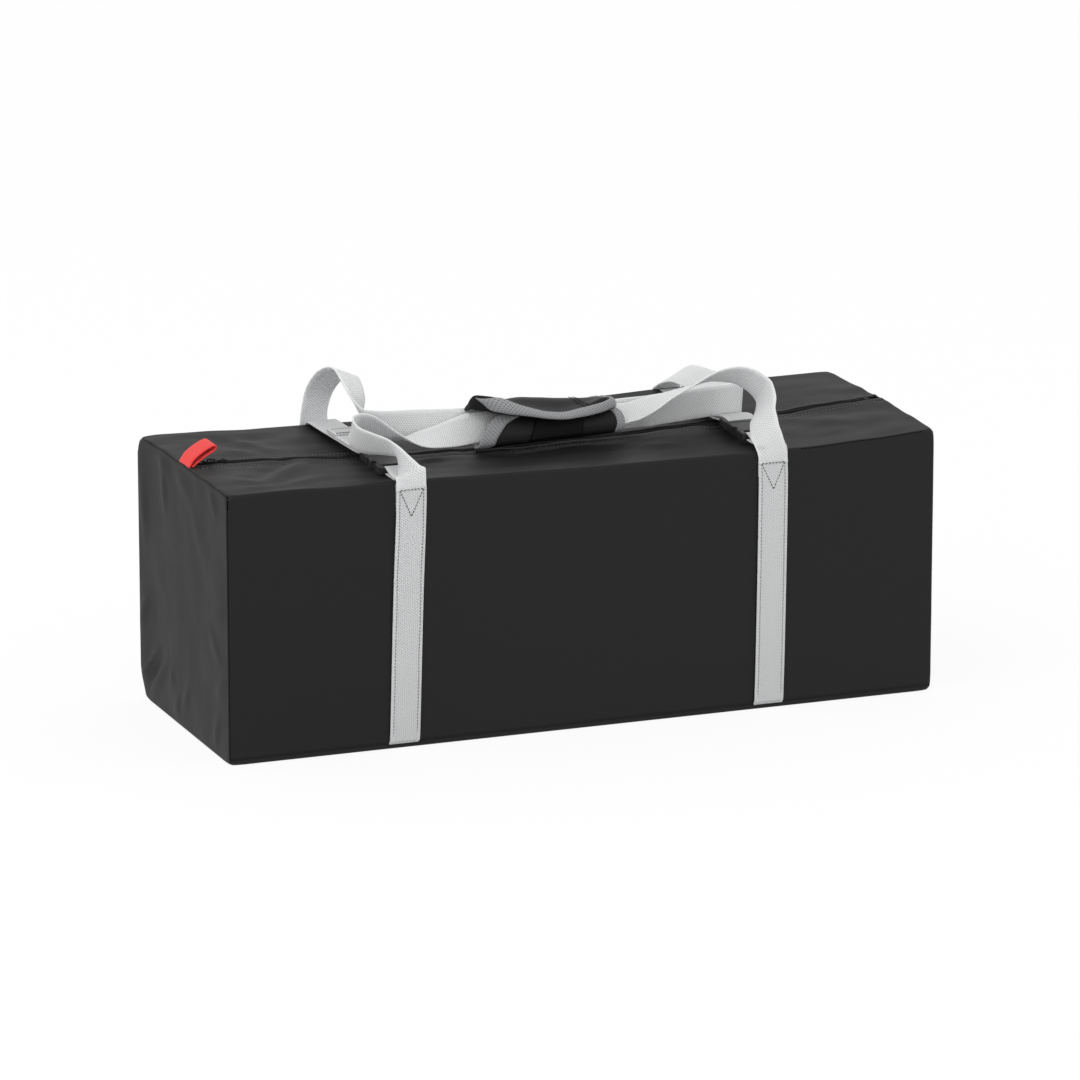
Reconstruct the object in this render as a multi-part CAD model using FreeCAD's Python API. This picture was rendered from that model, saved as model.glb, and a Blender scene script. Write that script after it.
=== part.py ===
import FreeCAD, Part
import os
from math import acos, asin, atan2, cos, degrees, hypot, pi, radians, sin, sqrt, tan

Vector = FreeCAD.Vector

# A roundnet set packed in its box-shaped carry bag.
# X runs along the bag with the grab tab at the low end, the front is at low Y, Z is up.
# The origin lies on the floor under the middle of the bag. All sizes are millimetres.

# Bag
bag_length = 610.0
bag_width = 215.0
bag_height = 220.0
top_sag = 3.0
panel_thickness = 2.0
edge_radius = 6.0
mitre_depth = 30.0

# Webbing
webbing_width = 25.4
webbing_thickness = 1.4
ribbon_steps = 2
left_strap_foot_x = -157.0
left_strap_head_x = -151.0
right_strap_foot_x = 159.0
right_strap_head_x = 161.0
back_left_head_x = -155.0
back_right_head_x = 157.0
strap_foot_z = 8.0
strap_lap_drop = 32.0
front_left_leg_drop = 10.0
front_right_leg_drop = 14.0
back_leg_drop = 6.0

# Zip
zip_slot_half = 5.2
zip_end_margin = 12.0
tape_width = 14.0
tape_thickness = 0.6
coil_gap_half = 0.5
coil_width = 2.4
coil_height = 2.4
stop_length = 3.5
slider_length = 12.0
slider_width = 9.6
slider_plate = 1.2
slider_clearance = 0.3
slider_park_margin = 8.0
crown_span = 7.6
crown_rise = 1.5
crown_width = 1.9
crown_bar = 1.0
pin_radius = 0.5
puller_length = 22.0
puller_width = 6.8

# Grab tab
tab_width = 25.0
tab_length = 33.0
tab_rise_angle = 32.5
tab_centre_y = 2.0
tab_thickness = 1.4

# Side-release buckle, in its own frame: x across, y rearwards, z up from its underside
buckle_width = 34.0
buckle_thickness = 7.5
buckle_front_y = -84.0
buckle_front_rise = -0.6
buckle_tilt = 3.6
socket_length = 30.0
socket_wall = 1.5
socket_mouth_half = 13.2
bar_depth = 3.2
bar_low = 2.2
bar_high = 5.2
webbing_slot_end = 7.2
socket_floor_y = 9.5
window_front = 11.8
window_rear = 20.7
notch_half = 14.5
collar_front = 30.3
collar_rear = 36.5
ladder_end = 50.0
first_slot_end = 40.2
front_bar_end = 43.0
second_slot_end = 46.4
ladder_bar_low = 2.9
ladder_bar_high = 4.8
guide_half = 1.6
guide_front = 14.0
prong_pivot_x = 11.1
prong_pivot_y = 32.4
prong_root_radius = 1.7
prong_low = 1.9
prong_high = 5.6
fit_gap = 0.3
release_travel = 24.0

# Cinch straps
cinch_zip_rise = 2.7
cinch_tail_end_y = 57.0
hem_length = 22.0
front_fold_end_y = -97.0

# Handle wrap
wrap_left_x = -65.0
wrap_right_x = 62.0
wrap_tilt = 1.2
wrap_bottom_rise = -0.7
wrap_front_y = -25.5
wrap_back_y = -7.0
wrap_lean = 25.0
wrap_thickness = 1.6
wrap_front_height = 22.0
wrap_back_top_rise = 29.0
front_wall_slant = 16.0
binding_width = 7.0
binding_thickness = 0.8
patch_length = 50.0
patch_height = 16.0
patch_thickness = 1.2
flap_thickness = 1.8
flap_back_y = 6.4
flap_front_y = -30.0
flap_gap = 0.3

# Inside the bag
rim_diameter = 914.0
rim_pieces = 5
rim_tube = 25.0
spigot_tube = 22.0
spigot_length = 30.0
socket_fit = 0.3
leg_tube = 22.0
leg_length = 205.0
leg_bore = 16.0
leg_bore_depth = 60.0
leg_count = 5
ball_radius = 45.0
ball_count = 3
ball_end_gap = 10.0
ball_spacing = 93.0
ball_wall = 2.5
net_radius = 38.0
net_core_radius = 14.0
net_end_gap = 13.0
net_ball_gap = 27.0
pump_radius = 12.0
pump_barrel_length = 140.0
pump_rod_radius = 3.0
pump_rod_show = 16.0
pump_handle_thickness = 12.0
pump_rod_hidden = 50.0
pump_end_gap = 25.0
rest_gap = 0.3

# Worked out from the sizes above
half_length = bag_length / 2
half_width = bag_width / 2
inner_half_width = half_width - panel_thickness
inner_half_length = half_length - panel_thickness
last_ball_x = inner_half_length - ball_end_gap - ball_radius
first_ball_x = last_ball_x - (ball_count - 1) * ball_spacing
net_end_x = first_ball_x - ball_radius - net_ball_gap
net_length = net_end_x + inner_half_length - net_end_gap
pump_barrel_x = inner_half_length - pump_end_gap - pump_handle_thickness - pump_rod_show - pump_barrel_length
zip_z = bag_height - top_sag
tape_top = zip_z - panel_thickness
tape_low = tape_top - tape_thickness
coil_top = tape_top + coil_height
coil_outer = coil_gap_half + coil_width
zip_half_length = half_length - zip_end_margin
slider_x = -(zip_half_length - stop_length - slider_length / 2 - slider_park_margin / 4)
slider_plate_low = coil_top + slider_clearance
slider_top = slider_plate_low + slider_plate
pin_z = slider_top + crown_rise / 2 + crown_bar / 4
strap_lap_z = bag_height - strap_lap_drop
front_left_leg_z = bag_height - front_left_leg_drop
front_right_leg_z = bag_height - front_right_leg_drop
back_leg_z = bag_height - back_leg_drop
buckle_front_z = bag_height + buckle_front_rise
cinch_zip_z = bag_height + cinch_zip_rise
wrap_bottom_z = bag_height + wrap_bottom_rise
wrap_back_top_z = bag_height + wrap_back_top_rise
lap_y = half_width + webbing_thickness / 2
outer_lap_y = half_width + 1.5 * webbing_thickness
corner_radius = edge_radius + webbing_thickness / 2
tilt = radians(buckle_tilt)

# Centre line of each free handle leg as (centre, direction from its first edge to its second).
# Heights are over the bag's top. The first station joins the strap on the bag, the last one enters the wrap.
back_left_leg = [
    ((back_left_head_x, outer_lap_y, -back_leg_drop), (1, 0, 0)),
    ((-154.5, 111, 7), (0.97, 0.2, -0.15)),
    ((-150, 110.5, 25), (0.96, 0.13, -0.24)),
    ((-144, 99, 40), (0.94, 0.06, -0.32)),
    ((-140, 76, 46.7), (0.91, 0.06, -0.41)),
    ((-142, 50, 38.4), (0.82, 0.13, -0.56)),
    ((-145, 35, 28.8), (0.56, 0.35, -0.75)),
    ((-145, 19, 21), (0.29, 0.42, -0.86)),
    ((-140, 11, 18.7), (0.1, 0.33, -0.94)),
    ((-125, 3, 17.5), (0, 0.1, -0.99)),
    ((-96, -1, 16.4), (-0.1, -0.35, -0.9)),
    ((-64.5, -6.5, 16), (0, -0.42, -0.91)),
]
front_left_leg = [
    ((left_strap_head_x, -outer_lap_y, -front_left_leg_drop), (1, 0, 0)),
    ((-151.2, -109.6, -1), (1, 0.05, 0.02)),
    ((-152, -109.6, 8), (0.93, 0.3, 0.08)),
    ((-154.5, -104.5, 13.2), (0.45, -0.15, 0.6)),
    ((-157, -97.5, 17.2), (-0.19, -0.53, 0.81)),
    ((-158, -89, 21.2), (-0.46, -0.45, 0.77)),
    ((-159.5, -83, 22.6), (-0.54, -0.41, 0.74)),
    ((-167, -72, 23.3), (-0.45, -0.34, 0.83)),
    ((-174, -61, 23.9), (-0.31, -0.24, 0.92)),
    ((-177, -51, 25.4), (-0.12, -0.18, 0.98)),
    ((-176, -40, 27.6), (0.04, -0.2, 0.98)),
    ((-172, -34, 28.6), (0.22, -0.32, 0.92)),
    ((-167, -28, 29.2), (0.39, -0.49, 0.78)),
    ((-158, -24, 27.4), (0.42, -0.67, 0.61)),
    ((-148, -23, 22.2), (0.35, -0.82, 0.46)),
    ((-136, -22, 15.3), (0.26, -0.91, 0.32)),
    ((-119, -20, 9.3), (0.14, -0.99, -0.01)),
    ((-106, -18, 8.9), (0.11, -0.94, -0.33)),
    ((-92, -16, 9.6), (0.08, -0.85, -0.51)),
    ((-74, -14, 12), (0.03, -0.6, -0.8)),
    ((-59.5, -12.5, 13.6), (0, -0.42, -0.91)),
]
front_right_leg = [
    ((right_strap_head_x, -outer_lap_y, -front_right_leg_drop), (1, 0, 0)),
    ((160, -109.2, -5), (1, 0.02, 0.04)),
    ((159, -103, 4), (0.99, -0.11, 0.13)),
    ((159, -98, 10), (0.83, -0.43, 0.37)),
    ((160, -91, 15.3), (0.72, -0.51, 0.47)),
    ((163, -82, 19.6), (0.64, -0.51, 0.57)),
    ((171, -68, 24.1), (0.54, -0.48, 0.69)),
    ((177, -52, 29.8), (0.34, -0.43, 0.83)),
    ((176, -45, 33.7), (0.14, -0.45, 0.88)),
    ((170, -41.5, 39.2), (0, -0.53, 0.85)),
    ((161.5, -36, 42.8), (-0.15, -0.65, 0.75)),
    ((151.5, -31.5, 43.2), (-0.21, -0.75, 0.62)),
    ((140, -27, 41), (-0.22, -0.87, 0.45)),
    ((126, -27, 36.5), (-0.19, -0.93, 0.31)),
    ((105, -24, 28.7), (-0.13, -0.99, 0.06)),
    ((92, -20.5, 23.4), (-0.05, -0.95, -0.3)),
    ((80, -15.5, 18.6), (0, -0.75, -0.65)),
    ((69, -12.5, 16.2), (0, -0.42, -0.91)),
]
back_right_leg = [
    ((back_right_head_x, outer_lap_y, -back_leg_drop), (1, 0, 0)),
    ((156.5, 108.5, 1.5), (1, 0, 0.08)),
    ((156, 100, 9.5), (0.96, 0.12, 0.27)),
    ((155, 89, 15.8), (0.9, 0.19, 0.39)),
    ((156, 74, 20.9), (0.88, 0.18, 0.44)),
    ((157, 59, 22.6), (0.86, 0.15, 0.49)),
    ((161, 41, 22), (0.82, 0.13, 0.56)),
    ((167, 20, 21), (0.78, 0.14, 0.6)),
    ((172.5, 4, 21.2), (0.55, 0.13, 0.82)),
    ((173, -6, 21.6), (0.1, 0.05, 0.99)),
    ((167, -12, 21), (-0.13, -0.05, 0.99)),
    ((150, -11.5, 19), (-0.1, -0.02, 0.99)),
    ((130, -12, 17.4), (-0.09, 0, 0.99)),
    ((106, -8.5, 16.2), (-0.05, 0.2, 0.98)),
    ((76.5, -7.5, 16), (0, 0.42, 0.91)),
]
back_grip_stations = [((-40, -6.2, 16.2), (0, -0.42, -0.91)), ((58, -7, 16.2), (0, -0.42, -0.91))]

# Share of the way forward over the flap, and share of its fall there
flap_folds = [(0.0, 0.0), (0.35, 0.2), (0.7, 0.6), (1.0, 1.0)]

# Front edge of the wrap's flap, which curls up at both ends: x, height over the bag's top
flap_front_edge = [(-73, 37), (-64, 44), (-50, 41), (-24, 30), (2, 24.6), (24, 25.6), (44, 33), (56, 29.5)]


def in_yz(x):
    return lambda a, b: Vector(x, a, b)


def in_xz(y):
    return lambda a, b: Vector(a, y, b)


def box(low, high):
    size = [high[axis] - low[axis] for axis in range(3)]
    return Part.makeBox(size[0], size[1], size[2], Vector(*low))


def prism(points, place, depth):
    corners = [place(a, b) for a, b in points]
    return Part.Face(Part.makePolygon(corners + corners[:1])).extrude(depth)


def offset_side(points, radii, offset, place):
    # One side of a band: its centre line with rounded corners, moved over by offset.
    units = []
    for (a1, b1), (a2, b2) in zip(points, points[1:]):
        length = hypot(a2 - a1, b2 - b1)
        units.append(((a2 - a1) / length, (b2 - b1) / length))
    normals = [(-b, a) for a, b in units]
    edges = []
    here = (points[0][0] + normals[0][0] * offset, points[0][1] + normals[0][1] * offset)
    for index, radius in enumerate(radii):
        corner = points[index + 1]
        before, after = units[index], units[index + 1]
        side = 1 if before[0] * after[1] - before[1] * after[0] > 0 else -1
        turn = acos(max(-1, min(1, before[0] * after[0] + before[1] * after[1])))
        back = radius * tan(turn / 2)
        enter = (corner[0] - before[0] * back, corner[1] - before[1] * back)
        leave = (corner[0] + after[0] * back, corner[1] + after[1] * back)
        centre = (enter[0] + normals[index][0] * side * radius, enter[1] + normals[index][1] * side * radius)
        reach = hypot(corner[0] - centre[0], corner[1] - centre[1])
        span = (radius - side * offset) / reach
        middle = (centre[0] + (corner[0] - centre[0]) * span, centre[1] + (corner[1] - centre[1]) * span)
        first = (enter[0] + normals[index][0] * offset, enter[1] + normals[index][1] * offset)
        last = (leave[0] + normals[index + 1][0] * offset, leave[1] + normals[index + 1][1] * offset)
        edges.append(Part.makeLine(place(*here), place(*first)))
        edges.append(Part.Arc(place(*first), place(*middle), place(*last)).toShape())
        here = last
    end = (points[-1][0] + normals[-1][0] * offset, points[-1][1] + normals[-1][1] * offset)
    edges.append(Part.makeLine(place(*here), place(*end)))
    return edges, end


def band(points, radii, thickness, place, depth):
    # A strap or folded sheet of one thickness, drawn edge on and extruded by depth.
    left, left_end = offset_side(points, radii, thickness / 2, place)
    right, right_end = offset_side(points, radii, -thickness / 2, place)
    caps = [
        Part.makeLine(left[0].Vertexes[0].Point, right[0].Vertexes[0].Point),
        Part.makeLine(place(*left_end), place(*right_end)),
    ]
    outline = Part.Wire(Part.__sortEdges__(left + right + caps))
    return Part.Face(outline).extrude(depth)


def smooth_value(values, index, share):
    # A value between two stations on a smooth curve through all of them.
    before = values[max(index - 1, 0)]
    start, end = values[index], values[index + 1]
    after = values[min(index + 2, len(values) - 1)]
    leave = (end - before) * 0.5
    arrive = (after - start) * 0.5
    square, cube = share ** 2, share ** 3
    from_ends = start * (2 * cube - 3 * square + 1) + end * (3 * square - 2 * cube)
    return from_ends + leave * (cube - 2 * square + share) + arrive * (cube - square)


def ribbon(stations, from_strap=True):
    # Webbing that bends and twists, made of short straight-ruled pieces between flat sections.
    centres = [Vector(*centre) + Vector(0, 0, bag_height) for centre, across in stations]
    acrosses = [Vector(*across).normalize() for centre, across in stations]
    path = []
    for index in range(len(stations) - 1):
        for step in range(ribbon_steps):
            share = step / ribbon_steps
            path.append((smooth_value(centres, index, share), smooth_value(acrosses, index, share)))
    path.append((centres[-1], acrosses[-1]))
    sections = []
    for index, (middle, across) in enumerate(path):
        if index == 0 or index == len(path) - 1:
            along = Vector(0, 0, 1) if index == 0 and from_strap else Vector(1, 0, 0)
        else:
            along = (path[index + 1][0] - path[index - 1][0]).normalize()
        square_on = (across - along * along.dot(across)).normalize()
        half = square_on * (webbing_width / 2)
        thin = along.cross(square_on) * (webbing_thickness / 2)
        corners = [middle - half - thin, middle + half - thin, middle + half + thin, middle - half + thin]
        if sections and thin.dot(last_thin) < 0:
            corners = [corners[3], corners[2], corners[1], corners[0]]
            thin = -thin
        last_thin = thin
        sections.append(Part.makePolygon(corners + corners[:1]))
    pieces = [Part.makeLoft([before, after], True, True) for before, after in zip(sections, sections[1:])]
    return pieces[0].fuse(pieces[1:])


def bag_form(inset):
    # The bag's outer form, or with an inset the room inside its panels.
    half = half_width - inset
    low = inset
    high = bag_height - inset
    start_x = -half_length + inset
    corners = [Vector(start_x, y, z) for y, z in ((-half, high), (-half, low), (half, low), (half, high))]
    edges = [Part.makeLine(a, b) for a, b in zip(corners, corners[1:])]
    sag_point = Vector(start_x, 0, high - top_sag)
    edges.append(Part.Arc(corners[3], sag_point, corners[0]).toShape())
    form = Part.Face(Part.Wire(edges)).extrude(Vector(bag_length - 2 * inset, 0, 0))
    return form.makeFillet(edge_radius - inset, form.Edges)


def side_wedge(axis, sign):
    # Room of one panel: the space near one side of the bag, mitred towards its neighbours.
    low = [-half_length, -half_width, 0.0]
    high = [half_length, half_width, bag_height]
    wires = []
    for depth in (0.0, mitre_depth):
        level = high[axis] - depth if sign > 0 else low[axis] + depth
        others = [index for index in range(3) if index != axis]
        corners = []
        for first, second in ((0, 0), (1, 0), (1, 1), (0, 1)):
            point = [0.0, 0.0, 0.0]
            point[axis] = level
            for index, pick in zip(others, (first, second)):
                point[index] = high[index] - depth if pick else low[index] + depth
            corners.append(Vector(*point))
        wires.append(Part.makePolygon(corners + corners[:1]))
    return Part.makeLoft(wires, True, True)


def make_panels():
    skin = bag_form(0).cut(bag_form(panel_thickness))
    panels = {
        "bag_front_panel": skin.common(side_wedge(1, -1)),
        "bag_back_panel": skin.common(side_wedge(1, 1)),
        "bag_bottom_panel": skin.common(side_wedge(2, -1)),
        "bag_left_end": skin.common(side_wedge(0, -1)),
        "bag_right_end": skin.common(side_wedge(0, 1)),
    }
    top = skin.common(side_wedge(2, 1))
    slot = box((-zip_half_length, -zip_slot_half, tape_low - 1), (zip_half_length, zip_slot_half, bag_height + 1))
    top = top.cut(slot)
    front_room = box((-half_length, -half_width, 0), (half_length, 0, bag_height + 1))
    panels["bag_top_front"] = top.common(front_room)
    panels["bag_top_back"] = top.cut(front_room)
    return panels


def make_zip():
    tape_end = zip_half_length + zip_end_margin / 2
    pieces = {}
    for name, sign in (("front", -1), ("back", 1)):
        near, far = sorted((sign * coil_gap_half, sign * tape_width))
        pieces["zipper_tape_" + name] = box((-tape_end, near, tape_low), (tape_end, far, tape_top))
        inner, outer = sign * coil_gap_half, sign * coil_outer
        shoulder = tape_top + coil_height / 2
        place = in_yz(-zip_half_length)
        edges = [
            Part.makeLine(place(inner, shoulder), place(inner, tape_top)),
            Part.makeLine(place(inner, tape_top), place(outer, tape_top)),
            Part.makeLine(place(outer, tape_top), place(outer, shoulder)),
            Part.Arc(place(outer, shoulder), place((inner + outer) / 2, coil_top), place(inner, shoulder)).toShape(),
        ]
        coil = Part.Face(Part.Wire(edges)).extrude(Vector(2 * zip_half_length, 0, 0))
        pieces["zipper_coil_" + name] = coil
    stops = []
    for sign in (-1, 1):
        near, far = sorted((sign * zip_half_length, sign * (zip_half_length - stop_length)))
        block = box((near, -coil_outer - 0.6, tape_low - 0.6), (far, coil_outer + 0.6, coil_top + 0.6))
        stops.append(block.cut(Part.makeCompound(list(pieces.values()))))
    pieces["zipper_stop_left"], pieces["zipper_stop_right"] = stops
    return pieces


def make_slider():
    # A closed-end slider: wings over the coils, a plate under the tapes and a thin post between them.
    half = slider_length / 2
    wide = slider_width / 2
    narrow = wide - 1.0
    outline = [(-half, -narrow), (half - 3, -wide), (half, -wide + 1), (half, wide - 1), (half - 3, wide), (-half, narrow)]
    flat = [(slider_x + a, b) for a, b in outline]
    upper = prism(flat, lambda a, b: Vector(a, b, tape_top + slider_clearance), Vector(0, 0, slider_top - tape_top - slider_clearance))
    channel_half = coil_outer + slider_clearance
    channel = box((slider_x - half - 1, -channel_half, tape_top), (slider_x + half + 1, channel_half, slider_plate_low))
    upper = upper.cut(channel)
    plate_top = tape_low - slider_clearance
    lower = prism(flat, lambda a, b: Vector(a, b, plate_top - slider_plate), Vector(0, 0, slider_plate))
    post_half = coil_gap_half - slider_clearance
    post = box((slider_x + 1, -post_half, plate_top - 0.2), (slider_x + 4, post_half, slider_plate_low + 0.2))
    rise = crown_rise + crown_bar
    span = crown_span / 2
    arch = [(slider_x - span, slider_top - 0.2), (slider_x - span, slider_top + rise), (slider_x + span, slider_top + rise),
            (slider_x + span, slider_top - 0.2)]
    crown = band(arch, [1.2, 1.2], crown_bar, in_xz(-crown_width / 2), Vector(0, crown_width, 0))
    crown.translate(Vector(0, 0, -crown_bar / 2))
    return upper.fuse([lower, post, crown]).removeSplitter()


def make_puller():
    # A flat tab whose cross pin lies under the crown. It lies along +X at rest.
    arm_inner = crown_width / 2 + slider_clearance
    plate_start = crown_span / 2 + crown_bar + slider_clearance + 0.4
    half = puller_width / 2
    thick = 2 * pin_radius
    low = pin_z - pin_radius
    plate = box((slider_x, -half, low), (slider_x + puller_length, half, low + thick))
    corners = [edge for edge in plate.Edges if edge.BoundBox.ZLength > thick / 2 and edge.BoundBox.XMin > slider_x + 1]
    plate = plate.makeFillet(2.0, corners)
    opening = box((slider_x - 1, -arm_inner, low - 1), (slider_x + plate_start, arm_inner, low + thick + 1))
    hole = box((slider_x + 13, -1.6, low - 1), (slider_x + 18, 1.6, low + thick + 1))
    pin = Part.makeCylinder(pin_radius, 2 * half, Vector(slider_x, -half, pin_z), Vector(0, 1, 0))
    return plate.cut(opening).cut(hole).fuse(pin).removeSplitter()


def make_grab_tab():
    rise = radians(tab_rise_angle)
    seam = edge_radius * (1 - cos(pi / 4)) - (tab_thickness / 2 + rest_gap) * cos(pi / 4)
    start = (-half_length + seam, zip_z - seam)
    end = (start[0] + tab_length * cos(rise), start[1] + tab_length * sin(rise))
    lift = (-sin(rise) * 3.0, cos(rise) * 3.0)
    path = [start, end, (end[0] + lift[0], end[1] + lift[1]), (start[0] + lift[0] * 0.55, start[1] + lift[1] * 0.55)]
    depth = Vector(0, tab_width, 0)
    return band(path, [1.4, 1.4], tab_thickness, in_xz(tab_centre_y - tab_width / 2), depth)


def face_strap(foot_x, head_x, head_z, sign):
    # Webbing on the front or back panel, which steps over the cinch strap's sewn end near the top.
    inner = sign * lap_y
    outer = sign * outer_lap_y
    path = [(inner, strap_foot_z), (inner, strap_lap_z - 6), (outer, strap_lap_z), (outer, head_z)]
    start_x = head_x - webbing_width / 2
    strap = band(path, [10, 10], webbing_thickness, in_yz(start_x), Vector(webbing_width, 0, 0))
    lean = FreeCAD.Matrix()
    lean.A13 = (head_x - foot_x) / (head_z - strap_foot_z)
    lean.A14 = -lean.A13 * head_z
    return strap.transformGeometry(lean)


def buckle_point(y, z):
    # A point of the tilted buckle frame, as y and z of the bag.
    return (buckle_front_y + y * cos(tilt) - z * sin(tilt), buckle_front_z + y * sin(tilt) + z * cos(tilt))


def place_buckle(shape, x):
    placed = shape.copy()
    placed.rotate(Vector(0, 0, 0), Vector(1, 0, 0), buckle_tilt)
    placed.translate(Vector(x, buckle_front_y, buckle_front_z))
    return placed


def make_socket():
    # The half that the prongs snap into, with the webbing bar at its front end.
    half = buckle_width / 2
    body = box((-half, 0, 0), (half, socket_length, buckle_thickness))
    upright = [edge for edge in body.Edges if edge.BoundBox.ZLength > 1]
    body = body.makeFillet(3.0, upright)
    rims = [edge for edge in body.Edges if edge.BoundBox.ZLength < 0.01]
    body = body.makeFillet(1.2, rims)
    mouth = box((-socket_mouth_half, socket_floor_y, socket_wall), (socket_mouth_half, socket_length + 1, buckle_thickness - socket_wall))
    webbing_half = socket_mouth_half + fit_gap
    slot = box((-webbing_half, bar_depth, -1), (webbing_half, webbing_slot_end, buckle_thickness + 1))
    under_bar = box((-webbing_half, -1, -1), (webbing_half, bar_depth + 1, bar_low))
    over_bar = box((-webbing_half, -1, bar_high), (webbing_half, bar_depth + 1, buckle_thickness + 1))
    body = body.cut(mouth).cut(slot).cut(under_bar).cut(over_bar)
    for sign in (-1, 1):
        near, far = sorted((sign * (socket_mouth_half - 1), sign * (half + 1)))
        body = body.cut(box((near, window_front, socket_wall), (far, window_rear, buckle_thickness - socket_wall)))
        middle = (window_front + window_rear) / 2
        radius = (window_rear - window_front) / 2
        notch = Part.makeCylinder(radius, buckle_thickness + 2, Vector(sign * (notch_half + radius), middle, -1))
        body = body.cut(notch)
    return body


def make_ladder():
    # The half that carries the prongs: a collar, a guide between the prongs and two webbing bars.
    half = buckle_width / 2
    collar = box((-half, collar_front, 0), (half, collar_rear, buckle_thickness))
    collar = collar.makeFillet(1.4, collar.Edges)
    frame = box((-half, collar_rear - 1, 0.9), (half, ladder_end, buckle_thickness - 0.9))
    ends = [edge for edge in frame.Edges if edge.BoundBox.ZLength > 1 and edge.BoundBox.YMin > collar_rear]
    frame = frame.makeFillet(2.5, ends)
    webbing_half = socket_mouth_half + fit_gap
    room = box((-webbing_half, collar_rear, 0), (webbing_half, ladder_end + 1, buckle_thickness))
    frame = frame.cut(room)
    bars = [
        box((-half + 1, first_slot_end, ladder_bar_low), (half - 1, front_bar_end, ladder_bar_high)),
        box((-half + 1, second_slot_end, ladder_bar_low), (half - 1, ladder_end - 1, ladder_bar_high)),
    ]
    guide = box((-guide_half, guide_front, prong_low), (guide_half, collar_front + 1, prong_high))
    ladder = collar.fuse([frame, guide] + bars)
    for sign in (-1, 1):
        x = sign * prong_pivot_x
        height = prong_high - prong_low + 2 * fit_gap
        seat = Part.makeCylinder(prong_root_radius + fit_gap, height, Vector(x, prong_pivot_y, prong_low - fit_gap))
        near, far = sorted((sign * 8.8, sign * 12.9))
        channel = box((near, collar_front - 1, prong_low - fit_gap), (far, prong_pivot_y, prong_high + fit_gap))
        ladder = ladder.cut(seat).cut(channel)
    return ladder.removeSplitter()


def make_prong(sign):
    # A springy arm with a shoulder that catches behind the window.
    arm = [(9.9, prong_pivot_y), (9.9, 14), (11.2, 11.9), (12.9, 12.5), (16.4, 15.8), (16.4, 20.3), (12.4, 20.3), (12.4, prong_pivot_y)]
    outline = [(sign * a, b) for a, b in arm]
    height = Vector(0, 0, prong_high - prong_low)
    blade = prism(outline, lambda a, b: Vector(a, b, prong_low), height)
    root = Part.makeCylinder(prong_root_radius, height.z, Vector(sign * prong_pivot_x, prong_pivot_y, prong_low))
    return blade.fuse(root).removeSplitter()


def front_cinch(x):
    # Short webbing: sewn under the face strap, over the edge, round the socket's bar and back on itself.
    layer = webbing_thickness / 2 + 0.2
    under = buckle_point(bar_depth + layer + 0.1, bar_low - layer - 0.15)
    over = buckle_point(bar_depth + layer + 0.1, bar_high + layer)
    front_over = buckle_point(-1.5, bar_high + layer)
    edge_z = bag_height + webbing_thickness / 2
    fold_z = edge_z + webbing_thickness + 0.4
    path = [(-lap_y, strap_lap_z + 4), (-lap_y, edge_z), under, over, front_over, (front_fold_end_y, fold_z)]
    bend = webbing_thickness
    place = in_yz(x - webbing_width / 2)
    return band(path, [corner_radius, bend, bend, 8], webbing_thickness, place, Vector(webbing_width, 0, 0))


def back_cinch(x):
    # Long webbing: sewn under the back strap, over the top to the ladder bar, and back as a tail with a hem.
    layer = webbing_thickness / 2 + 0.3
    turn_y = first_slot_end - layer - 0.5
    under_rear = buckle_point(56, ladder_bar_low - layer)
    under_turn = buckle_point(turn_y, ladder_bar_low - layer)
    over_turn = buckle_point(turn_y, ladder_bar_high + layer)
    over_rear = buckle_point(53, ladder_bar_high + layer)
    edge_z = bag_height + webbing_thickness / 2 - 0.1
    stack = webbing_thickness + 0.2
    run = (cinch_zip_z - edge_z) / (lap_y - 8)
    tail_z = edge_z + (lap_y - cinch_tail_end_y) * run + stack
    path = [
        (lap_y, strap_lap_z + 4), (lap_y, edge_z), (8, cinch_zip_z), (-8, cinch_zip_z),
        under_rear, under_turn, over_turn, over_rear,
        (-12, cinch_zip_z + stack + 0.7), (8, cinch_zip_z + stack), (cinch_tail_end_y, tail_z),
    ]
    bend = webbing_thickness + 0.4
    radii = [corner_radius, 60, 12, 20, bend, bend, 8, 8, 60]
    place = in_yz(x - webbing_width / 2)
    strap = band(path, radii, webbing_thickness, place, Vector(webbing_width, 0, 0))
    hem_path = [(cinch_tail_end_y - hem_length, tail_z + run * hem_length + webbing_thickness), (cinch_tail_end_y, tail_z + webbing_thickness)]
    hem = band(hem_path, [], webbing_thickness, place, Vector(webbing_width, 0, 0))
    return strap.fuse(hem)


def tilt_wrap(shape):
    shape.rotate(Vector(wrap_left_x, 0, wrap_bottom_z), Vector(0, 1, 0), -wrap_tilt)
    return shape


def on_front_wall(shape):
    # Takes a piece drawn on the plane y = 0 to the outer face of the wrap's leaning front wall.
    lean = radians(wrap_lean)
    shape.rotate(Vector(0, 0, 0), Vector(1, 0, 0), -wrap_lean)
    base_z = wrap_bottom_z + wrap_thickness / 2
    out = wrap_thickness / 2
    shape.translate(Vector(0, wrap_front_y - out * cos(lean), base_z + out * sin(lean)))
    return tilt_wrap(shape)


def wall_outline(inset):
    # The front wall is wider at the bottom. Measured along the slope of the wall.
    slope_height = wrap_front_height / cos(radians(wrap_lean))
    slant = front_wall_slant / slope_height
    side = inset * hypot(1, slant)
    top = slope_height - inset
    left, right = wrap_left_x + side, wrap_right_x - side
    low = 3.0
    return [(left + slant * low, low), (right - slant * low, low), (right - slant * top, top), (left + slant * top, top)]


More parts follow.
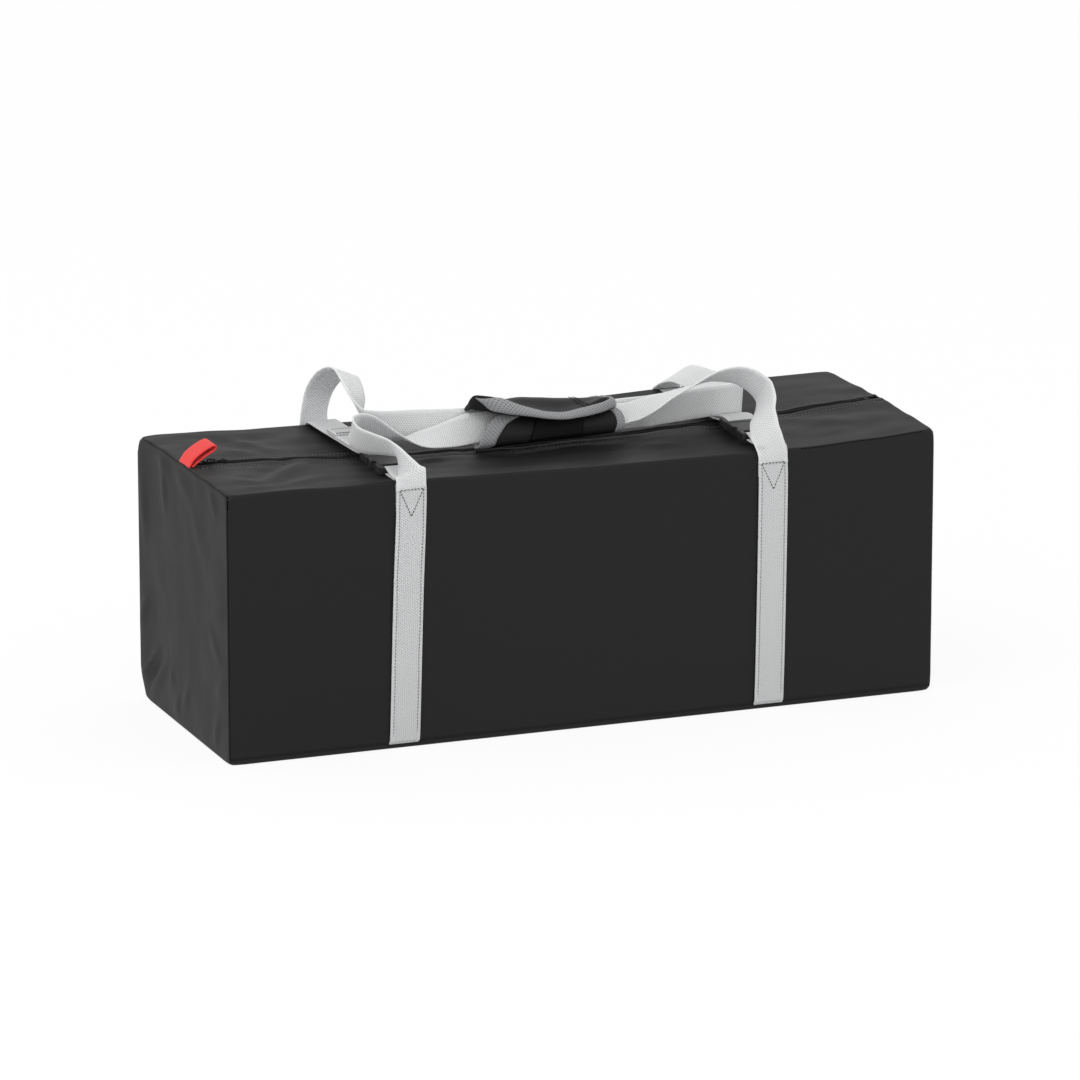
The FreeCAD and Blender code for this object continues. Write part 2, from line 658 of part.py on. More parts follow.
def make_wrap_base():
    # A sleeve folded up on both sides of the grips. Its walls lean back with the webbing.
    lean = radians(wrap_lean)
    mid_z = wrap_bottom_z + wrap_thickness / 2
    back_rise = 40.0
    path = [
        (wrap_front_y + wrap_front_height * tan(lean), mid_z + wrap_front_height),
        (wrap_front_y, mid_z), (wrap_back_y, mid_z),
        (wrap_back_y + back_rise * tan(lean), mid_z + back_rise),
    ]
    length = wrap_right_x - wrap_left_x
    sleeve = band(path, [4, 4], wrap_thickness, in_yz(wrap_left_x), Vector(length, 0, 0))
    for sign, end_x in ((1, wrap_left_x), (-1, wrap_right_x)):
        corner = [(end_x - sign, mid_z), (end_x, mid_z), (end_x + sign * front_wall_slant, mid_z + wrap_front_height + 2),
                  (end_x - sign, mid_z + wrap_front_height + 2)]
        sleeve = sleeve.cut(prism(corner, in_xz(wrap_front_y - 5), Vector(0, 5 + (wrap_back_y - wrap_front_y) * 0.6, 0)))
    tilt_wrap(sleeve)
    lid_room = box((wrap_left_x - 20, -100, wrap_back_top_z), (wrap_right_x + 20, 100, wrap_back_top_z + 60))
    return sleeve.cut(lid_room)


def make_wrap_binding():
    outer = prism(wall_outline(0.2), in_xz(0), Vector(0, -binding_thickness, 0))
    inner = prism(wall_outline(binding_width), in_xz(1), Vector(0, -binding_thickness - 2, 0))
    below = box((wrap_left_x, -5, -5), (wrap_right_x, 5, binding_width))
    return on_front_wall(outer.cut(inner).cut(below))


def make_loop_patch():
    middle = (wrap_left_x + wrap_right_x) / 2
    patch = box((middle - patch_length / 2, -patch_thickness, 3.6), (middle + patch_length / 2, 0, 3.6 + patch_height * 0.7))
    return on_front_wall(patch)


def flap_drop(share):
    # How far along its fall to the front edge the flap is, at a share of the way from its back.
    for (near, near_drop), (far, far_drop) in zip(flap_folds, flap_folds[1:]):
        if share <= far:
            return near_drop + (far_drop - near_drop) * (share - near) / (far - near)


def flap_section(x, front_rise, near, far, low, high):
    # A thin section of the flap at one x, between two shares of the way from its back to its front edge.
    back_z = wrap_back_top_z + flap_gap + flap_thickness / 2
    corners = []
    for share, height in ((near, low), (far, low), (far, high), (near, high)):
        y = flap_back_y + (flap_front_y - flap_back_y) * share
        corners.append(Vector(x, y, back_z + (bag_height + front_rise - back_z) * flap_drop(share) + height))
    return Part.makePolygon(corners + corners[:1])


def make_flap():
    half = flap_thickness / 2
    leaves = []
    for (near, near_drop), (far, far_drop) in zip(flap_folds, flap_folds[1:]):
        sections = [flap_section(x, z, near, far, -half, half) for x, z in flap_front_edge]
        leaves.append(Part.makeLoft(sections, True, True))
    return leaves[0].fuse(leaves[1:])


def make_hook_patch():
    half = flap_thickness / 2
    middle = [(x, z) for x, z in flap_front_edge if -40 < x < 40]
    sections = [flap_section(x, z, 0.74, 0.98, -half - patch_thickness, -half) for x, z in middle]
    return Part.makeLoft(sections, True, True)


def rim_radius():
    return rim_diameter / 2 - rim_tube / 2


def rim_end_height():
    return rim_radius() * cos(pi / rim_pieces)


def rim_y(x):
    # How far a rim piece bows away from the line through its ends.
    return sqrt(rim_radius() ** 2 - x ** 2) - rim_end_height()


def rim_spacing():
    return (rim_tube + rest_gap) / cos(pi / rim_pieces)


def rim_ends_y(column):
    spigot_angle = pi / rim_pieces + spigot_length / rim_radius()
    spigot_drop = rim_end_height() - rim_radius() * cos(spigot_angle)
    first = -inner_half_width + spigot_tube / 2 + spigot_drop + rest_gap
    return first + column * rim_spacing()


def rim_z(layer):
    return panel_thickness + rest_gap + rim_tube / 2 + layer * (rim_tube + rest_gap)


def bent_rod(radius, centre, start_angle, sweep):
    # A round bar bent to the rim's circle. Angles are from +Y towards +X, in radians.
    start = Vector(centre.x + rim_radius() * sin(start_angle), centre.y + rim_radius() * cos(start_angle), centre.z)
    heading = Vector(cos(start_angle), -sin(start_angle), 0)
    disc = Part.Face(Part.Wire(Part.makeCircle(radius, start, heading)))
    return disc.revolve(centre, Vector(0, 0, 1), -degrees(sweep))


def make_rim_piece(column, layer):
    centre = Vector(0, rim_ends_y(column) - rim_end_height(), rim_z(layer))
    half = pi / rim_pieces
    spigot_sweep = spigot_length / rim_radius()
    tube = bent_rod(rim_tube / 2, centre, -half, 2 * half)
    bore = bent_rod(spigot_tube / 2 + socket_fit, centre, -half - 0.01, spigot_sweep + 0.02)
    spigot = bent_rod(spigot_tube / 2, centre, half - 0.01, spigot_sweep + 0.01)
    return tube.cut(bore).fuse(spigot)


def make_legs():
    radius = leg_tube / 2
    step = leg_tube + rest_gap
    rest_z = rim_z(1) + rim_tube / 2 + rest_gap + radius
    first_y = -inner_half_width + rest_gap + radius
    legs = []
    for index in range(leg_count):
        row, place = (0, index) if index < 3 else (1, index - 3)
        y = first_y + (place + row / 2) * step
        z = rest_z + row * step * sin(pi / 3)
        start = Vector(-inner_half_length + 3, y, z)
        leg = Part.makeCylinder(radius, leg_length, start, Vector(1, 0, 0))
        foot = [edge for edge in leg.Edges if edge.BoundBox.XLength < 0.01 and edge.BoundBox.XMin < start.x + 1]
        leg = leg.makeFillet(radius * 0.5, foot)
        bore_start = Vector(start.x + leg_length - leg_bore_depth, y, z)
        legs.append(leg.cut(Part.makeCylinder(leg_bore / 2, leg_bore_depth + 1, bore_start, Vector(1, 0, 0))))
    return legs


def make_balls():
    # Each ball lies in the groove between the two upper rim pieces.
    reach = ball_radius + rim_tube / 2 + rest_gap
    balls = []
    for number in range(ball_count):
        x = first_ball_x + ball_spacing * number
        lean = asin(x / rim_radius())
        apart = rim_spacing() / 2 * cos(lean)
        y = (rim_ends_y(0) + rim_ends_y(1)) / 2 + rim_y(x)
        centre = Vector(x, y, rim_z(1) + sqrt(reach ** 2 - apart ** 2))
        shell = Part.makeSphere(ball_radius, centre)
        balls.append(shell.cut(Part.makeSphere(ball_radius - ball_wall, centre)))
    return balls


def make_net():
    # The net rolled up tight fills the room left of the balls. It leans on the back panel and an upper rim piece.
    y = inner_half_width - rest_gap - net_radius
    apart = y - rim_ends_y(1) - rim_y(net_end_x)
    reach = net_radius + rim_tube / 2 + rest_gap
    z = rim_z(1) + sqrt(reach ** 2 - apart ** 2)
    start = Vector(net_end_x - net_length, y, z)
    roll = Part.makeCylinder(net_radius, net_length, start, Vector(1, 0, 0))
    return roll.cut(Part.makeCylinder(net_core_radius, net_length, start, Vector(1, 0, 0)))


def make_pump():
    y = inner_half_width - rest_gap - pump_radius
    z = panel_thickness + rest_gap + pump_radius
    along = Vector(1, 0, 0)
    barrel_end = pump_barrel_x + pump_barrel_length
    barrel = Part.makeCylinder(pump_radius, pump_barrel_length, Vector(pump_barrel_x, y, z), along)
    hole_length = pump_rod_hidden + 10
    hole_start = Vector(barrel_end + 1 - hole_length, y, z)
    rod_hole = Part.makeCylinder(pump_rod_radius + rest_gap, hole_length, hole_start, along)
    nozzle = Part.makeCone(2.0, 4.0, 8, Vector(pump_barrel_x - 8, y, z), along)
    barrel = barrel.cut(rod_hole).fuse(nozzle)
    rod_length = pump_rod_hidden + pump_rod_show
    rod = Part.makeCylinder(pump_rod_radius, rod_length, Vector(barrel_end - pump_rod_hidden, y, z), along)
    handle_x = barrel_end + pump_rod_show
    handle = Part.makeCylinder(pump_radius, pump_handle_thickness, Vector(handle_x, y, z), along)
    handle = handle.makeFillet(2.0, [edge for edge in handle.Edges if edge.BoundBox.XLength < 0.01])
    return barrel, rod, handle


def build():
    parts = {}
    parts.update(make_panels())
    parts.update(make_zip())
    parts["zipper_slider"] = make_slider()
    parts["zipper_puller"] = make_puller()
    parts["grab_tab"] = make_grab_tab()
    parts["strap_front_left"] = face_strap(left_strap_foot_x, left_strap_head_x, front_left_leg_z, -1)
    parts["strap_front_right"] = face_strap(right_strap_foot_x, right_strap_head_x, front_right_leg_z, -1)
    parts["strap_back_left"] = face_strap(left_strap_foot_x, back_left_head_x, back_leg_z, 1)
    parts["strap_back_right"] = face_strap(right_strap_foot_x, back_right_head_x, back_leg_z, 1)
    parts["handle_leg_front_left"] = ribbon(front_left_leg)
    parts["handle_leg_front_right"] = ribbon(front_right_leg)
    parts["handle_leg_back_left"] = ribbon(back_left_leg)
    parts["handle_leg_back_right"] = ribbon(back_right_leg)
    parts["handle_grip_front"] = ribbon([front_left_leg[-1], front_right_leg[-1]], False)
    right_end = (back_right_leg[-1][0], tuple(-value for value in back_right_leg[-1][1]))
    parts["handle_grip_back"] = ribbon([back_left_leg[-1]] + back_grip_stations + [right_end], False)
    parts["handle_wrap_base"] = make_wrap_base()
    parts["handle_wrap_binding"] = make_wrap_binding()
    parts["handle_wrap_flap"] = make_flap()
    parts["wrap_loop_patch"] = make_loop_patch()
    parts["wrap_hook_patch"] = make_hook_patch()
    for side, x in (("left", left_strap_head_x), ("right", right_strap_head_x)):
        parts["cinch_front_" + side] = front_cinch(x)
        parts["cinch_back_" + side] = back_cinch(x)
        parts["buckle_socket_" + side] = place_buckle(make_socket(), x)
        parts["buckle_ladder_" + side] = place_buckle(make_ladder(), x)
        parts["buckle_prong_" + side + "_outer"] = place_buckle(make_prong(-1 if side == "left" else 1), x)
        parts["buckle_prong_" + side + "_inner"] = place_buckle(make_prong(1 if side == "left" else -1), x)
    for index, (column, layer) in enumerate(((0, 0), (1, 0), (2, 0), (0, 1), (1, 1))):
        parts["rim_piece_" + str(index + 1)] = make_rim_piece(column, layer)
    for index, leg in enumerate(make_legs()):
        parts["rim_leg_" + str(index + 1)] = leg
    for index, ball in enumerate(make_balls()):
        parts["ball_" + str(index + 1)] = ball
    parts["net_roll"] = make_net()
    parts["pump_barrel"], parts["pump_rod"], parts["pump_handle"] = make_pump()
    return parts


os.makedirs("parts", exist_ok=True)
for node, shape in build().items():
    shape.exportStep("parts/" + node + ".step")
    print(node, len(shape.Solids), shape.isValid(), round(shape.Volume), shape.BoundBox)
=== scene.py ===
import bpy
import bmesh
from math import cos, exp, pi, radians, sin, sqrt
from mathutils import Matrix, Vector, noise


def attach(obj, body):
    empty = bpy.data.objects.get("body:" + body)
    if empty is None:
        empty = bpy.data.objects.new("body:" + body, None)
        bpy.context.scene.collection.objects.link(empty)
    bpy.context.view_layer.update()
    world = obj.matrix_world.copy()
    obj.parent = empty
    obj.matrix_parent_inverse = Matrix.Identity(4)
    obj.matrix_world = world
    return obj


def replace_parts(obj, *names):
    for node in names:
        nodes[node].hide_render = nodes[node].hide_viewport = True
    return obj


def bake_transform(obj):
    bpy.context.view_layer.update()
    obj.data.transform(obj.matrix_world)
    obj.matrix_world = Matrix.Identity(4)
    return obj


# Roundnet set in its carry bag. Sizes are written in millimetres and become metres through mm.
mm = 0.001

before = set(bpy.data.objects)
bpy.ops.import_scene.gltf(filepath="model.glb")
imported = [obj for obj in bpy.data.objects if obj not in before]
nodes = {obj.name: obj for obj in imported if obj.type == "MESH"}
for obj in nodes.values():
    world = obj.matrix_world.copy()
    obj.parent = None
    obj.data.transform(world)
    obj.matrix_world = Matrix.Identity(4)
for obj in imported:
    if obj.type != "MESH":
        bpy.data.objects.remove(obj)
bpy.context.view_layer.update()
print("frame loaded,", len(nodes), "nodes")


# Camera, floor and light

view = {
    "azimuth": -21.35,
    "elevation": 14.65,
    "distance": 5714.3,
    "target": (1.1, 0.0, 130.7),
    "lens": 233.1,
    "sensor": 36.0,
    "farClip": 60.0,
    "keyLight": (-1700, -1100, 2500),
    "keySize": 3.0,
    "keyPower": 21.0,
    "fillLight": (1500, -2600, 1200),
    "fillSize": 2.6,
    "fillPower": 5.0,
    "lampTarget": (0, 0, 100),
    "worldLight": 0.9,
    "floorSize": 12.0,
    "floorColour": 0.97,
    "floorWhite": 0.9,
}


def aimMatrix(place, target):
    # Camera and area lamps look down their own -Z, with +Y up.
    back = (place - target).normalized()
    right = Vector((0, 0, 1)).cross(back).normalized()
    up = back.cross(right)
    turn = Matrix((right, up, back)).transposed().to_4x4()
    return Matrix.Translation(place) @ turn


def makeCamera():
    a, e = radians(view["azimuth"]), radians(view["elevation"])
    back = Vector((sin(a) * cos(e), -cos(a) * cos(e), sin(e)))
    target = Vector(view["target"]) * mm
    camera = bpy.data.objects.new("camera", bpy.data.cameras.new("camera"))
    camera.data.lens = view["lens"]
    camera.data.sensor_width = view["sensor"]
    camera.data.clip_end = view["farClip"]
    camera.matrix_world = aimMatrix(target + back * view["distance"] * mm, target)
    bpy.context.scene.collection.objects.link(camera)
    bpy.context.scene.camera = camera


def makeLamp(name, place, size, power):
    lamp = bpy.data.lights.new(name, "AREA")
    lamp.shape = "DISK"
    lamp.size = size
    lamp.energy = power
    holder = bpy.data.objects.new(name, lamp)
    holder.matrix_world = aimMatrix(Vector(place) * mm, Vector(view["lampTarget"]) * mm)
    bpy.context.scene.collection.objects.link(holder)


def addMath(tree, kind, first, second=None, third=None):
    node = tree.nodes.new("ShaderNodeMath")
    node.operation = kind
    for socket, value in zip(node.inputs, (first, second, third)):
        if value is None:
            continue
        if hasattr(value, "is_linked"):
            tree.links.new(value, socket)
        else:
            socket.default_value = value
    return node.outputs[0]


def backdropRays(tree):
    # 1 for rays from the camera, off shiny surfaces and through clear ones
    path = tree.nodes.new("ShaderNodeLightPath")
    seen = addMath(tree, "MAXIMUM", path.outputs["Is Camera Ray"], path.outputs["Is Glossy Ray"])
    return addMath(tree, "MAXIMUM", seen, path.outputs["Is Transmission Ray"])


def makeWorld():
    # The camera and shiny surfaces see plain white, everything else is lit by a softer sky.
    world = bpy.data.worlds.new("studio")
    bpy.context.scene.world = world
    world.use_nodes = True
    tree = world.node_tree
    tree.nodes.clear()
    out = tree.nodes.new("ShaderNodeOutputWorld")
    seen = tree.nodes.new("ShaderNodeBackground")
    light = tree.nodes.new("ShaderNodeBackground")
    seen.inputs["Strength"].default_value = 1.0
    light.inputs["Strength"].default_value = view["worldLight"]
    for shade in (seen, light):
        shade.inputs["Color"].default_value = (1, 1, 1, 1)
    mix = tree.nodes.new("ShaderNodeMixShader")
    tree.links.new(backdropRays(tree), mix.inputs["Fac"])
    tree.links.new(light.outputs["Background"], mix.inputs[1])
    tree.links.new(seen.outputs["Background"], mix.inputs[2])
    tree.links.new(mix.outputs["Shader"], out.inputs["Surface"])


def makeFloor():
    # A white floor. Part of what the camera sees of it is plain white, so the object's shadow stays soft.
    bm = bmesh.new()
    bmesh.ops.create_grid(bm, x_segments=1, y_segments=1, size=view["floorSize"])
    mesh = bpy.data.meshes.new("studioFloor")
    bm.to_mesh(mesh)
    bm.free()
    floor = bpy.data.objects.new("studioFloor", mesh)
    bpy.context.scene.collection.objects.link(floor)
    material = bpy.data.materials.new("floorWhite")
    material.use_nodes = True
    tree = material.node_tree
    shader = tree.nodes["Principled BSDF"]
    shader.inputs["Base Color"].default_value = (*(view["floorColour"],) * 3, 1)
    shader.inputs["Roughness"].default_value = 0.9
    shader.inputs["Specular IOR Level"].default_value = 0.0
    white = tree.nodes.new("ShaderNodeEmission")
    white.inputs["Color"].default_value = (1, 1, 1, 1)
    white.inputs["Strength"].default_value = 1.0
    mix = tree.nodes.new("ShaderNodeMixShader")
    share = addMath(tree, "MULTIPLY", backdropRays(tree), view["floorWhite"])
    tree.links.new(share, mix.inputs["Fac"])
    tree.links.new(shader.outputs["BSDF"], mix.inputs[1])
    tree.links.new(white.outputs["Emission"], mix.inputs[2])
    tree.links.new(mix.outputs["Shader"], tree.nodes["Material Output"].inputs["Surface"])
    mesh.materials.append(material)


makeCamera()
makeLamp("keyLamp", view["keyLight"], view["keySize"], view["keyPower"])
makeLamp("fillLamp", view["fillLight"], view["fillSize"], view["fillPower"])
makeWorld()
makeFloor()
bpy.context.scene.view_settings.view_transform = "Standard"
print("camera, floor and lights set")


# Shader groups

def newGroup(name, inputs, outputs):
    group = bpy.data.node_groups.new(name, "ShaderNodeTree")
    for label, kind, value in inputs:
        socket = group.interface.new_socket(name=label, in_out="INPUT", socket_type=kind)
        if value is not None:
            socket.default_value = value
    for label, kind in outputs:
        group.interface.new_socket(name=label, in_out="OUTPUT", socket_type=kind)
    start = group.nodes.new("NodeGroupInput")
    end = group.nodes.new("NodeGroupOutput")
    return group, start, end


def addNoise(tree, vector, scale, detail=3.0, rough=0.5):
    node = tree.nodes.new("ShaderNodeTexNoise")
    node.inputs["Scale"].default_value = scale
    node.inputs["Detail"].default_value = detail
    node.inputs["Roughness"].default_value = rough
    if vector is not None:
        tree.links.new(vector, node.inputs["Vector"])
    return node.outputs["Fac"]


def addWave(tree, value, pitch, turns=1):
    # A cosine wave that turns this many times in every pitch
    share = addMath(tree, "DIVIDE", value, pitch)
    return addMath(tree, "COSINE", addMath(tree, "MULTIPLY", share, 2 * pi * turns))


weave = {
    "columnPitch": 0.0032,
    "rowPitch": 0.0021,
    "selvedge": 0.0098,
    "columnWander": 0.00012,
    "rowWander": 0.0009,
    "gapSharpness": 3.0,
    "gapSoftness": 0.12,
    "selvedgeGap": 0.25,
    "ribShare": 0.25,
}


def makeWebbingGroup():
    # Woven webbing on its own UV map in metres: small dark gaps in staggered rows between pale yarns,
    # and a plain selvedge along both edges.
    group, start, end = newGroup(
        "webbingWeave",
        [("Vector", "NodeSocketVector", None),
         ("Column Pitch", "NodeSocketFloat", weave["columnPitch"]),
         ("Row Pitch", "NodeSocketFloat", weave["rowPitch"]),
         ("Selvedge", "NodeSocketFloat", weave["selvedge"])],
        [("Height", "NodeSocketFloat"), ("Shade", "NodeSocketFloat"), ("Fuzz", "NodeSocketFloat")])
    split = group.nodes.new("ShaderNodeSeparateXYZ")
    group.links.new(start.outputs["Vector"], split.inputs[0])
    fuzz = addNoise(group, start.outputs["Vector"], 900.0, 4.0, 0.6)
    drift = addNoise(group, start.outputs["Vector"], 60.0, 2.0, 0.5)
    across = addMath(group, "MULTIPLY_ADD", fuzz, weave["columnWander"], split.outputs["X"])
    along = addMath(group, "MULTIPLY_ADD", drift, weave["rowWander"], split.outputs["Y"])
    column = addWave(group, across, start.outputs["Column Pitch"])
    row = addWave(group, along, start.outputs["Row Pitch"])
    yarn = addMath(group, "MULTIPLY_ADD", addMath(group, "MULTIPLY", column, row), 0.5, 0.5)
    ribs = addMath(group, "MULTIPLY_ADD", addWave(group, along, start.outputs["Row Pitch"], 2), 0.5, 0.5)
    gap = addMath(group, "MULTIPLY_ADD", yarn, -weave["gapSharpness"], 1.0)
    gap = addMath(group, "SMOOTH_MAX", gap, 0.0, weave["gapSoftness"])
    outOf = addMath(group, "ABSOLUTE", split.outputs["X"])
    middle = addMath(group, "LESS_THAN", outOf, start.outputs["Selvedge"])
    depth = addMath(group, "MULTIPLY_ADD", middle, 1 - weave["selvedgeGap"], weave["selvedgeGap"])
    gap = addMath(group, "MULTIPLY", gap, depth)
    height = addMath(group, "ADD", addMath(group, "MULTIPLY", yarn, 1 - weave["ribShare"]),
                     addMath(group, "MULTIPLY", ribs, weave["ribShare"]))
    group.links.new(height, end.inputs["Height"])
    group.links.new(addMath(group, "SUBTRACT", 1.0, gap), end.inputs["Shade"])
    group.links.new(fuzz, end.inputs["Fuzz"])
    return group


def makeClothGroup():
    # Coated woven cloth on object coordinates: a very fine grid, soft creases and patches of sheen.
    group, start, end = newGroup(
        "coatedCloth",
        [("Vector", "NodeSocketVector", None), ("Thread Pitch", "NodeSocketFloat", 0.0006)],
        [("Height", "NodeSocketFloat"), ("Patches", "NodeSocketFloat"), ("Creases", "NodeSocketFloat")])
    split = group.nodes.new("ShaderNodeSeparateXYZ")
    group.links.new(start.outputs["Vector"], split.inputs[0])
    waves = []
    for label in ("X", "Y", "Z"):
        waves.append(addWave(group, split.outputs[label], start.outputs["Thread Pitch"]))
    threads = addMath(group, "ADD", addMath(group, "ADD", waves[0], waves[1]), waves[2])
    height = addMath(group, "MULTIPLY_ADD", threads, 0.16, 0.5)
    group.links.new(height, end.inputs["Height"])
    group.links.new(addNoise(group, start.outputs["Vector"], 18.0, 4.0, 0.55), end.inputs["Patches"])
    stretch = group.nodes.new("ShaderNodeMapping")
    stretch.inputs["Scale"].default_value = (0.35, 1.0, 1.0)
    group.links.new(start.outputs["Vector"], stretch.inputs["Vector"])
    group.links.new(addNoise(group, stretch.outputs["Vector"], 26.0, 2.0, 0.5), end.inputs["Creases"])
    return group


def makeMouldedGroup():
    # Fine spark-eroded grain and faint flow marks on moulded plastic or cast metal.
    group, start, end = newGroup(
        "mouldedGrain",
        [("Vector", "NodeSocketVector", None)],
        [("Height", "NodeSocketFloat"), ("Wear", "NodeSocketFloat")])
    group.links.new(addNoise(group, start.outputs["Vector"], 2600.0, 2.0, 0.6), end.inputs["Height"])
    group.links.new(addNoise(group, start.outputs["Vector"], 160.0, 4.0, 0.6), end.inputs["Wear"])
    return group


webbingWeave = makeWebbingGroup()
coatedCloth = makeClothGroup()
mouldedGrain = makeMouldedGroup()


# Materials

def placeGroup(tree, group, vector, values=()):
    node = tree.nodes.new("ShaderNodeGroup")
    node.node_tree = group
    tree.links.new(vector, node.inputs["Vector"])
    for label, value in values:
        node.inputs[label].default_value = value
    return node


def mixColours(tree, share, first, second):
    mix = tree.nodes.new("ShaderNodeMix")
    mix.data_type = "RGBA"
    tree.links.new(share, mix.inputs["Factor"])
    for socket, value in ((mix.inputs[6], first), (mix.inputs[7], second)):
        if hasattr(value, "is_linked"):
            tree.links.new(value, socket)
        else:
            socket.default_value = (*value, 1)
    return mix.outputs[2]


def addBump(tree, height, strength, distance, under=None):
    bump = tree.nodes.new("ShaderNodeBump")
    bump.inputs["Strength"].default_value = strength
    bump.inputs["Distance"].default_value = distance
    tree.links.new(height, bump.inputs["Height"])
    if under is not None:
        tree.links.new(under, bump.inputs["Normal"])
    return bump.outputs["Normal"]


def spread(tree, value, low, high):
    node = tree.nodes.new("ShaderNodeMapRange")
    node.inputs["To Min"].default_value = low
    node.inputs["To Max"].default_value = high
    tree.links.new(value, node.inputs["Value"])
    return node.outputs["Result"]


def startMaterial(name, roughness, specular=0.5):
    material = bpy.data.materials.new(name)
    material.use_nodes = True
    tree = material.node_tree
    shader = tree.nodes["Principled BSDF"]
    shader.inputs["Roughness"].default_value = roughness
    shader.inputs["Specular IOR Level"].default_value = specular
    return material, tree, shader


def webbingMaterial(name, pale, dark, columnPitch=weave["columnPitch"], rowPitch=weave["rowPitch"],
                    roughness=0.75, selvedge=weave["selvedge"], subsurface=0.0, shine=1.0):
    material, tree, shader = startMaterial(name, roughness, 0.25 * shine)
    uv = tree.nodes.new("ShaderNodeUVMap")
    uv.uv_map = "webbing"
    woven = placeGroup(tree, webbingWeave, uv.outputs["UV"],
                       (("Column Pitch", columnPitch), ("Row Pitch", rowPitch), ("Selvedge", selvedge)))
    colour = mixColours(tree, woven.outputs["Shade"], dark, pale)
    tree.links.new(mixColours(tree, spread(tree, woven.outputs["Fuzz"], 0.0, 0.25), colour, pale),
                   shader.inputs["Base Color"])
    tree.links.new(spread(tree, woven.outputs["Fuzz"], roughness - 0.12, roughness + 0.12),
                   shader.inputs["Roughness"])
    rough = addBump(tree, woven.outputs["Fuzz"], 0.25, 0.0002)
    tree.links.new(addBump(tree, woven.outputs["Height"], 0.7, 0.0004, rough), shader.inputs["Normal"])
    shader.inputs["Sheen Weight"].default_value = 0.1 * shine
    shader.inputs["Sheen Roughness"].default_value = 0.4
    shader.inputs["Subsurface Weight"].default_value = subsurface
    shader.inputs["Subsurface Radius"].default_value = (1, 1, 1)
    shader.inputs["Subsurface Scale"].default_value = 0.0025
    return material


def clothMaterial(name, pale, dark, roughness, specular, seamShadeColour=(0.004, 0.004, 0.004)):
    # The seam mask attribute of a piece paints shade into its sunken seams by darkening their colour.
    material, tree, shader = startMaterial(name, roughness, specular)
    place = tree.nodes.new("ShaderNodeTexCoord")
    cloth = placeGroup(tree, coatedCloth, place.outputs["Object"])
    colour = mixColours(tree, cloth.outputs["Patches"], dark, pale)
    seamShade = tree.nodes.new("ShaderNodeAttribute")
    seamShade.attribute_name = "seamShade"
    tree.links.new(mixColours(tree, seamShade.outputs["Fac"], colour, seamShadeColour), shader.inputs["Base Color"])
    tree.links.new(spread(tree, cloth.outputs["Patches"], roughness - 0.06, roughness + 0.08),
                   shader.inputs["Roughness"])
    fine = addBump(tree, cloth.outputs["Height"], 0.12, 0.0001)
    tree.links.new(addBump(tree, cloth.outputs["Creases"], 0.22, 0.004, fine), shader.inputs["Normal"])
    return material


def mouldedMaterial(name, pale, dark, roughness, bump=0.12, specular=0.5):
    material, tree, shader = startMaterial(name, roughness, specular)
    place = tree.nodes.new("ShaderNodeTexCoord")
    grain = placeGroup(tree, mouldedGrain, place.outputs["Object"])
    tree.links.new(mixColours(tree, grain.outputs["Wear"], dark, pale), shader.inputs["Base Color"])
    tree.links.new(spread(tree, grain.outputs["Wear"], roughness - 0.08, roughness + 0.1),
                   shader.inputs["Roughness"])
    tree.links.new(addBump(tree, grain.outputs["Height"], bump, 0.0001), shader.inputs["Normal"])
    return material


bagCloth = clothMaterial("bagCloth", (0.0105, 0.0105, 0.011), (0.008, 0.008, 0.0085), 0.56, specular=0.2)
wrapCloth = clothMaterial("wrapCloth", (0.0095, 0.0095, 0.01), (0.0065, 0.0065, 0.007), 0.58, specular=0.2)
hookLoop = clothMaterial("hookLoop", (0.0085, 0.0085, 0.009), (0.0055, 0.0055, 0.006), 0.85, specular=0.15)
greyWebbing = webbingMaterial("greyWebbing", (0.61, 0.615, 0.62), (0.20, 0.205, 0.21), subsurface=0.5)
# The free legs are the straps' own webbing, painted paler here: painted light that brightens their shaded
# loops.
paintedLightWebbing = webbingMaterial("paintedLightWebbing", (0.72, 0.725, 0.73), (0.23, 0.235, 0.24), subsurface=1.0)
greyBinding = webbingMaterial("greyBinding", (0.30, 0.303, 0.31), (0.02, 0.02, 0.021), 0.0036, 0.0026,
                              selvedge=1.0)
redWebbing = webbingMaterial("redWebbing", (0.86, 0.06, 0.055), (0.62, 0.03, 0.028), 0.0016, 0.0018,
                             selvedge=1.0)
zipTape = webbingMaterial("zipTape", (0.004, 0.004, 0.004), (0.002, 0.002, 0.002), 0.0012, 0.0012,
                          selvedge=1.0, shine=0.2)
darkThread = mouldedMaterial("darkThread", (0.09, 0.092, 0.095), (0.055, 0.056, 0.058), 0.7)
edgeThread = mouldedMaterial("edgeThread", (0.23, 0.232, 0.236), (0.15, 0.152, 0.155), 0.7)
blackThread = mouldedMaterial("blackThread", (0.0015, 0.0015, 0.0015), (0.001, 0.001, 0.001), 0.9,
                              specular=0.0)
seamThread = mouldedMaterial("seamThread", (0.16, 0.16, 0.163), (0.10, 0.10, 0.102), 0.65)
coilNylon = mouldedMaterial("coilNylon", (0.004, 0.004, 0.004), (0.002, 0.002, 0.002), 0.5, specular=0.12)
zipMetal = mouldedMaterial("zipMetal", (0.008, 0.008, 0.008), (0.005, 0.005, 0.005), 0.5, specular=0.15)
buckleAcetal = mouldedMaterial("buckleAcetal", (0.014, 0.014, 0.015), (0.009, 0.009, 0.01), 0.42)
rimPlastic = mouldedMaterial("rimPlastic", (0.02, 0.02, 0.02), (0.012, 0.012, 0.012), 0.4)
legPlastic = mouldedMaterial("legPlastic", (0.85, 0.52, 0.02), (0.75, 0.44, 0.015), 0.4)
ballRubber = mouldedMaterial("ballRubber", (0.85, 0.6, 0.02), (0.75, 0.5, 0.02), 0.55, bump=0.3)
netCord = mouldedMaterial("netCord", (0.8, 0.8, 0.8), (0.55, 0.55, 0.55), 0.8, bump=0.5)
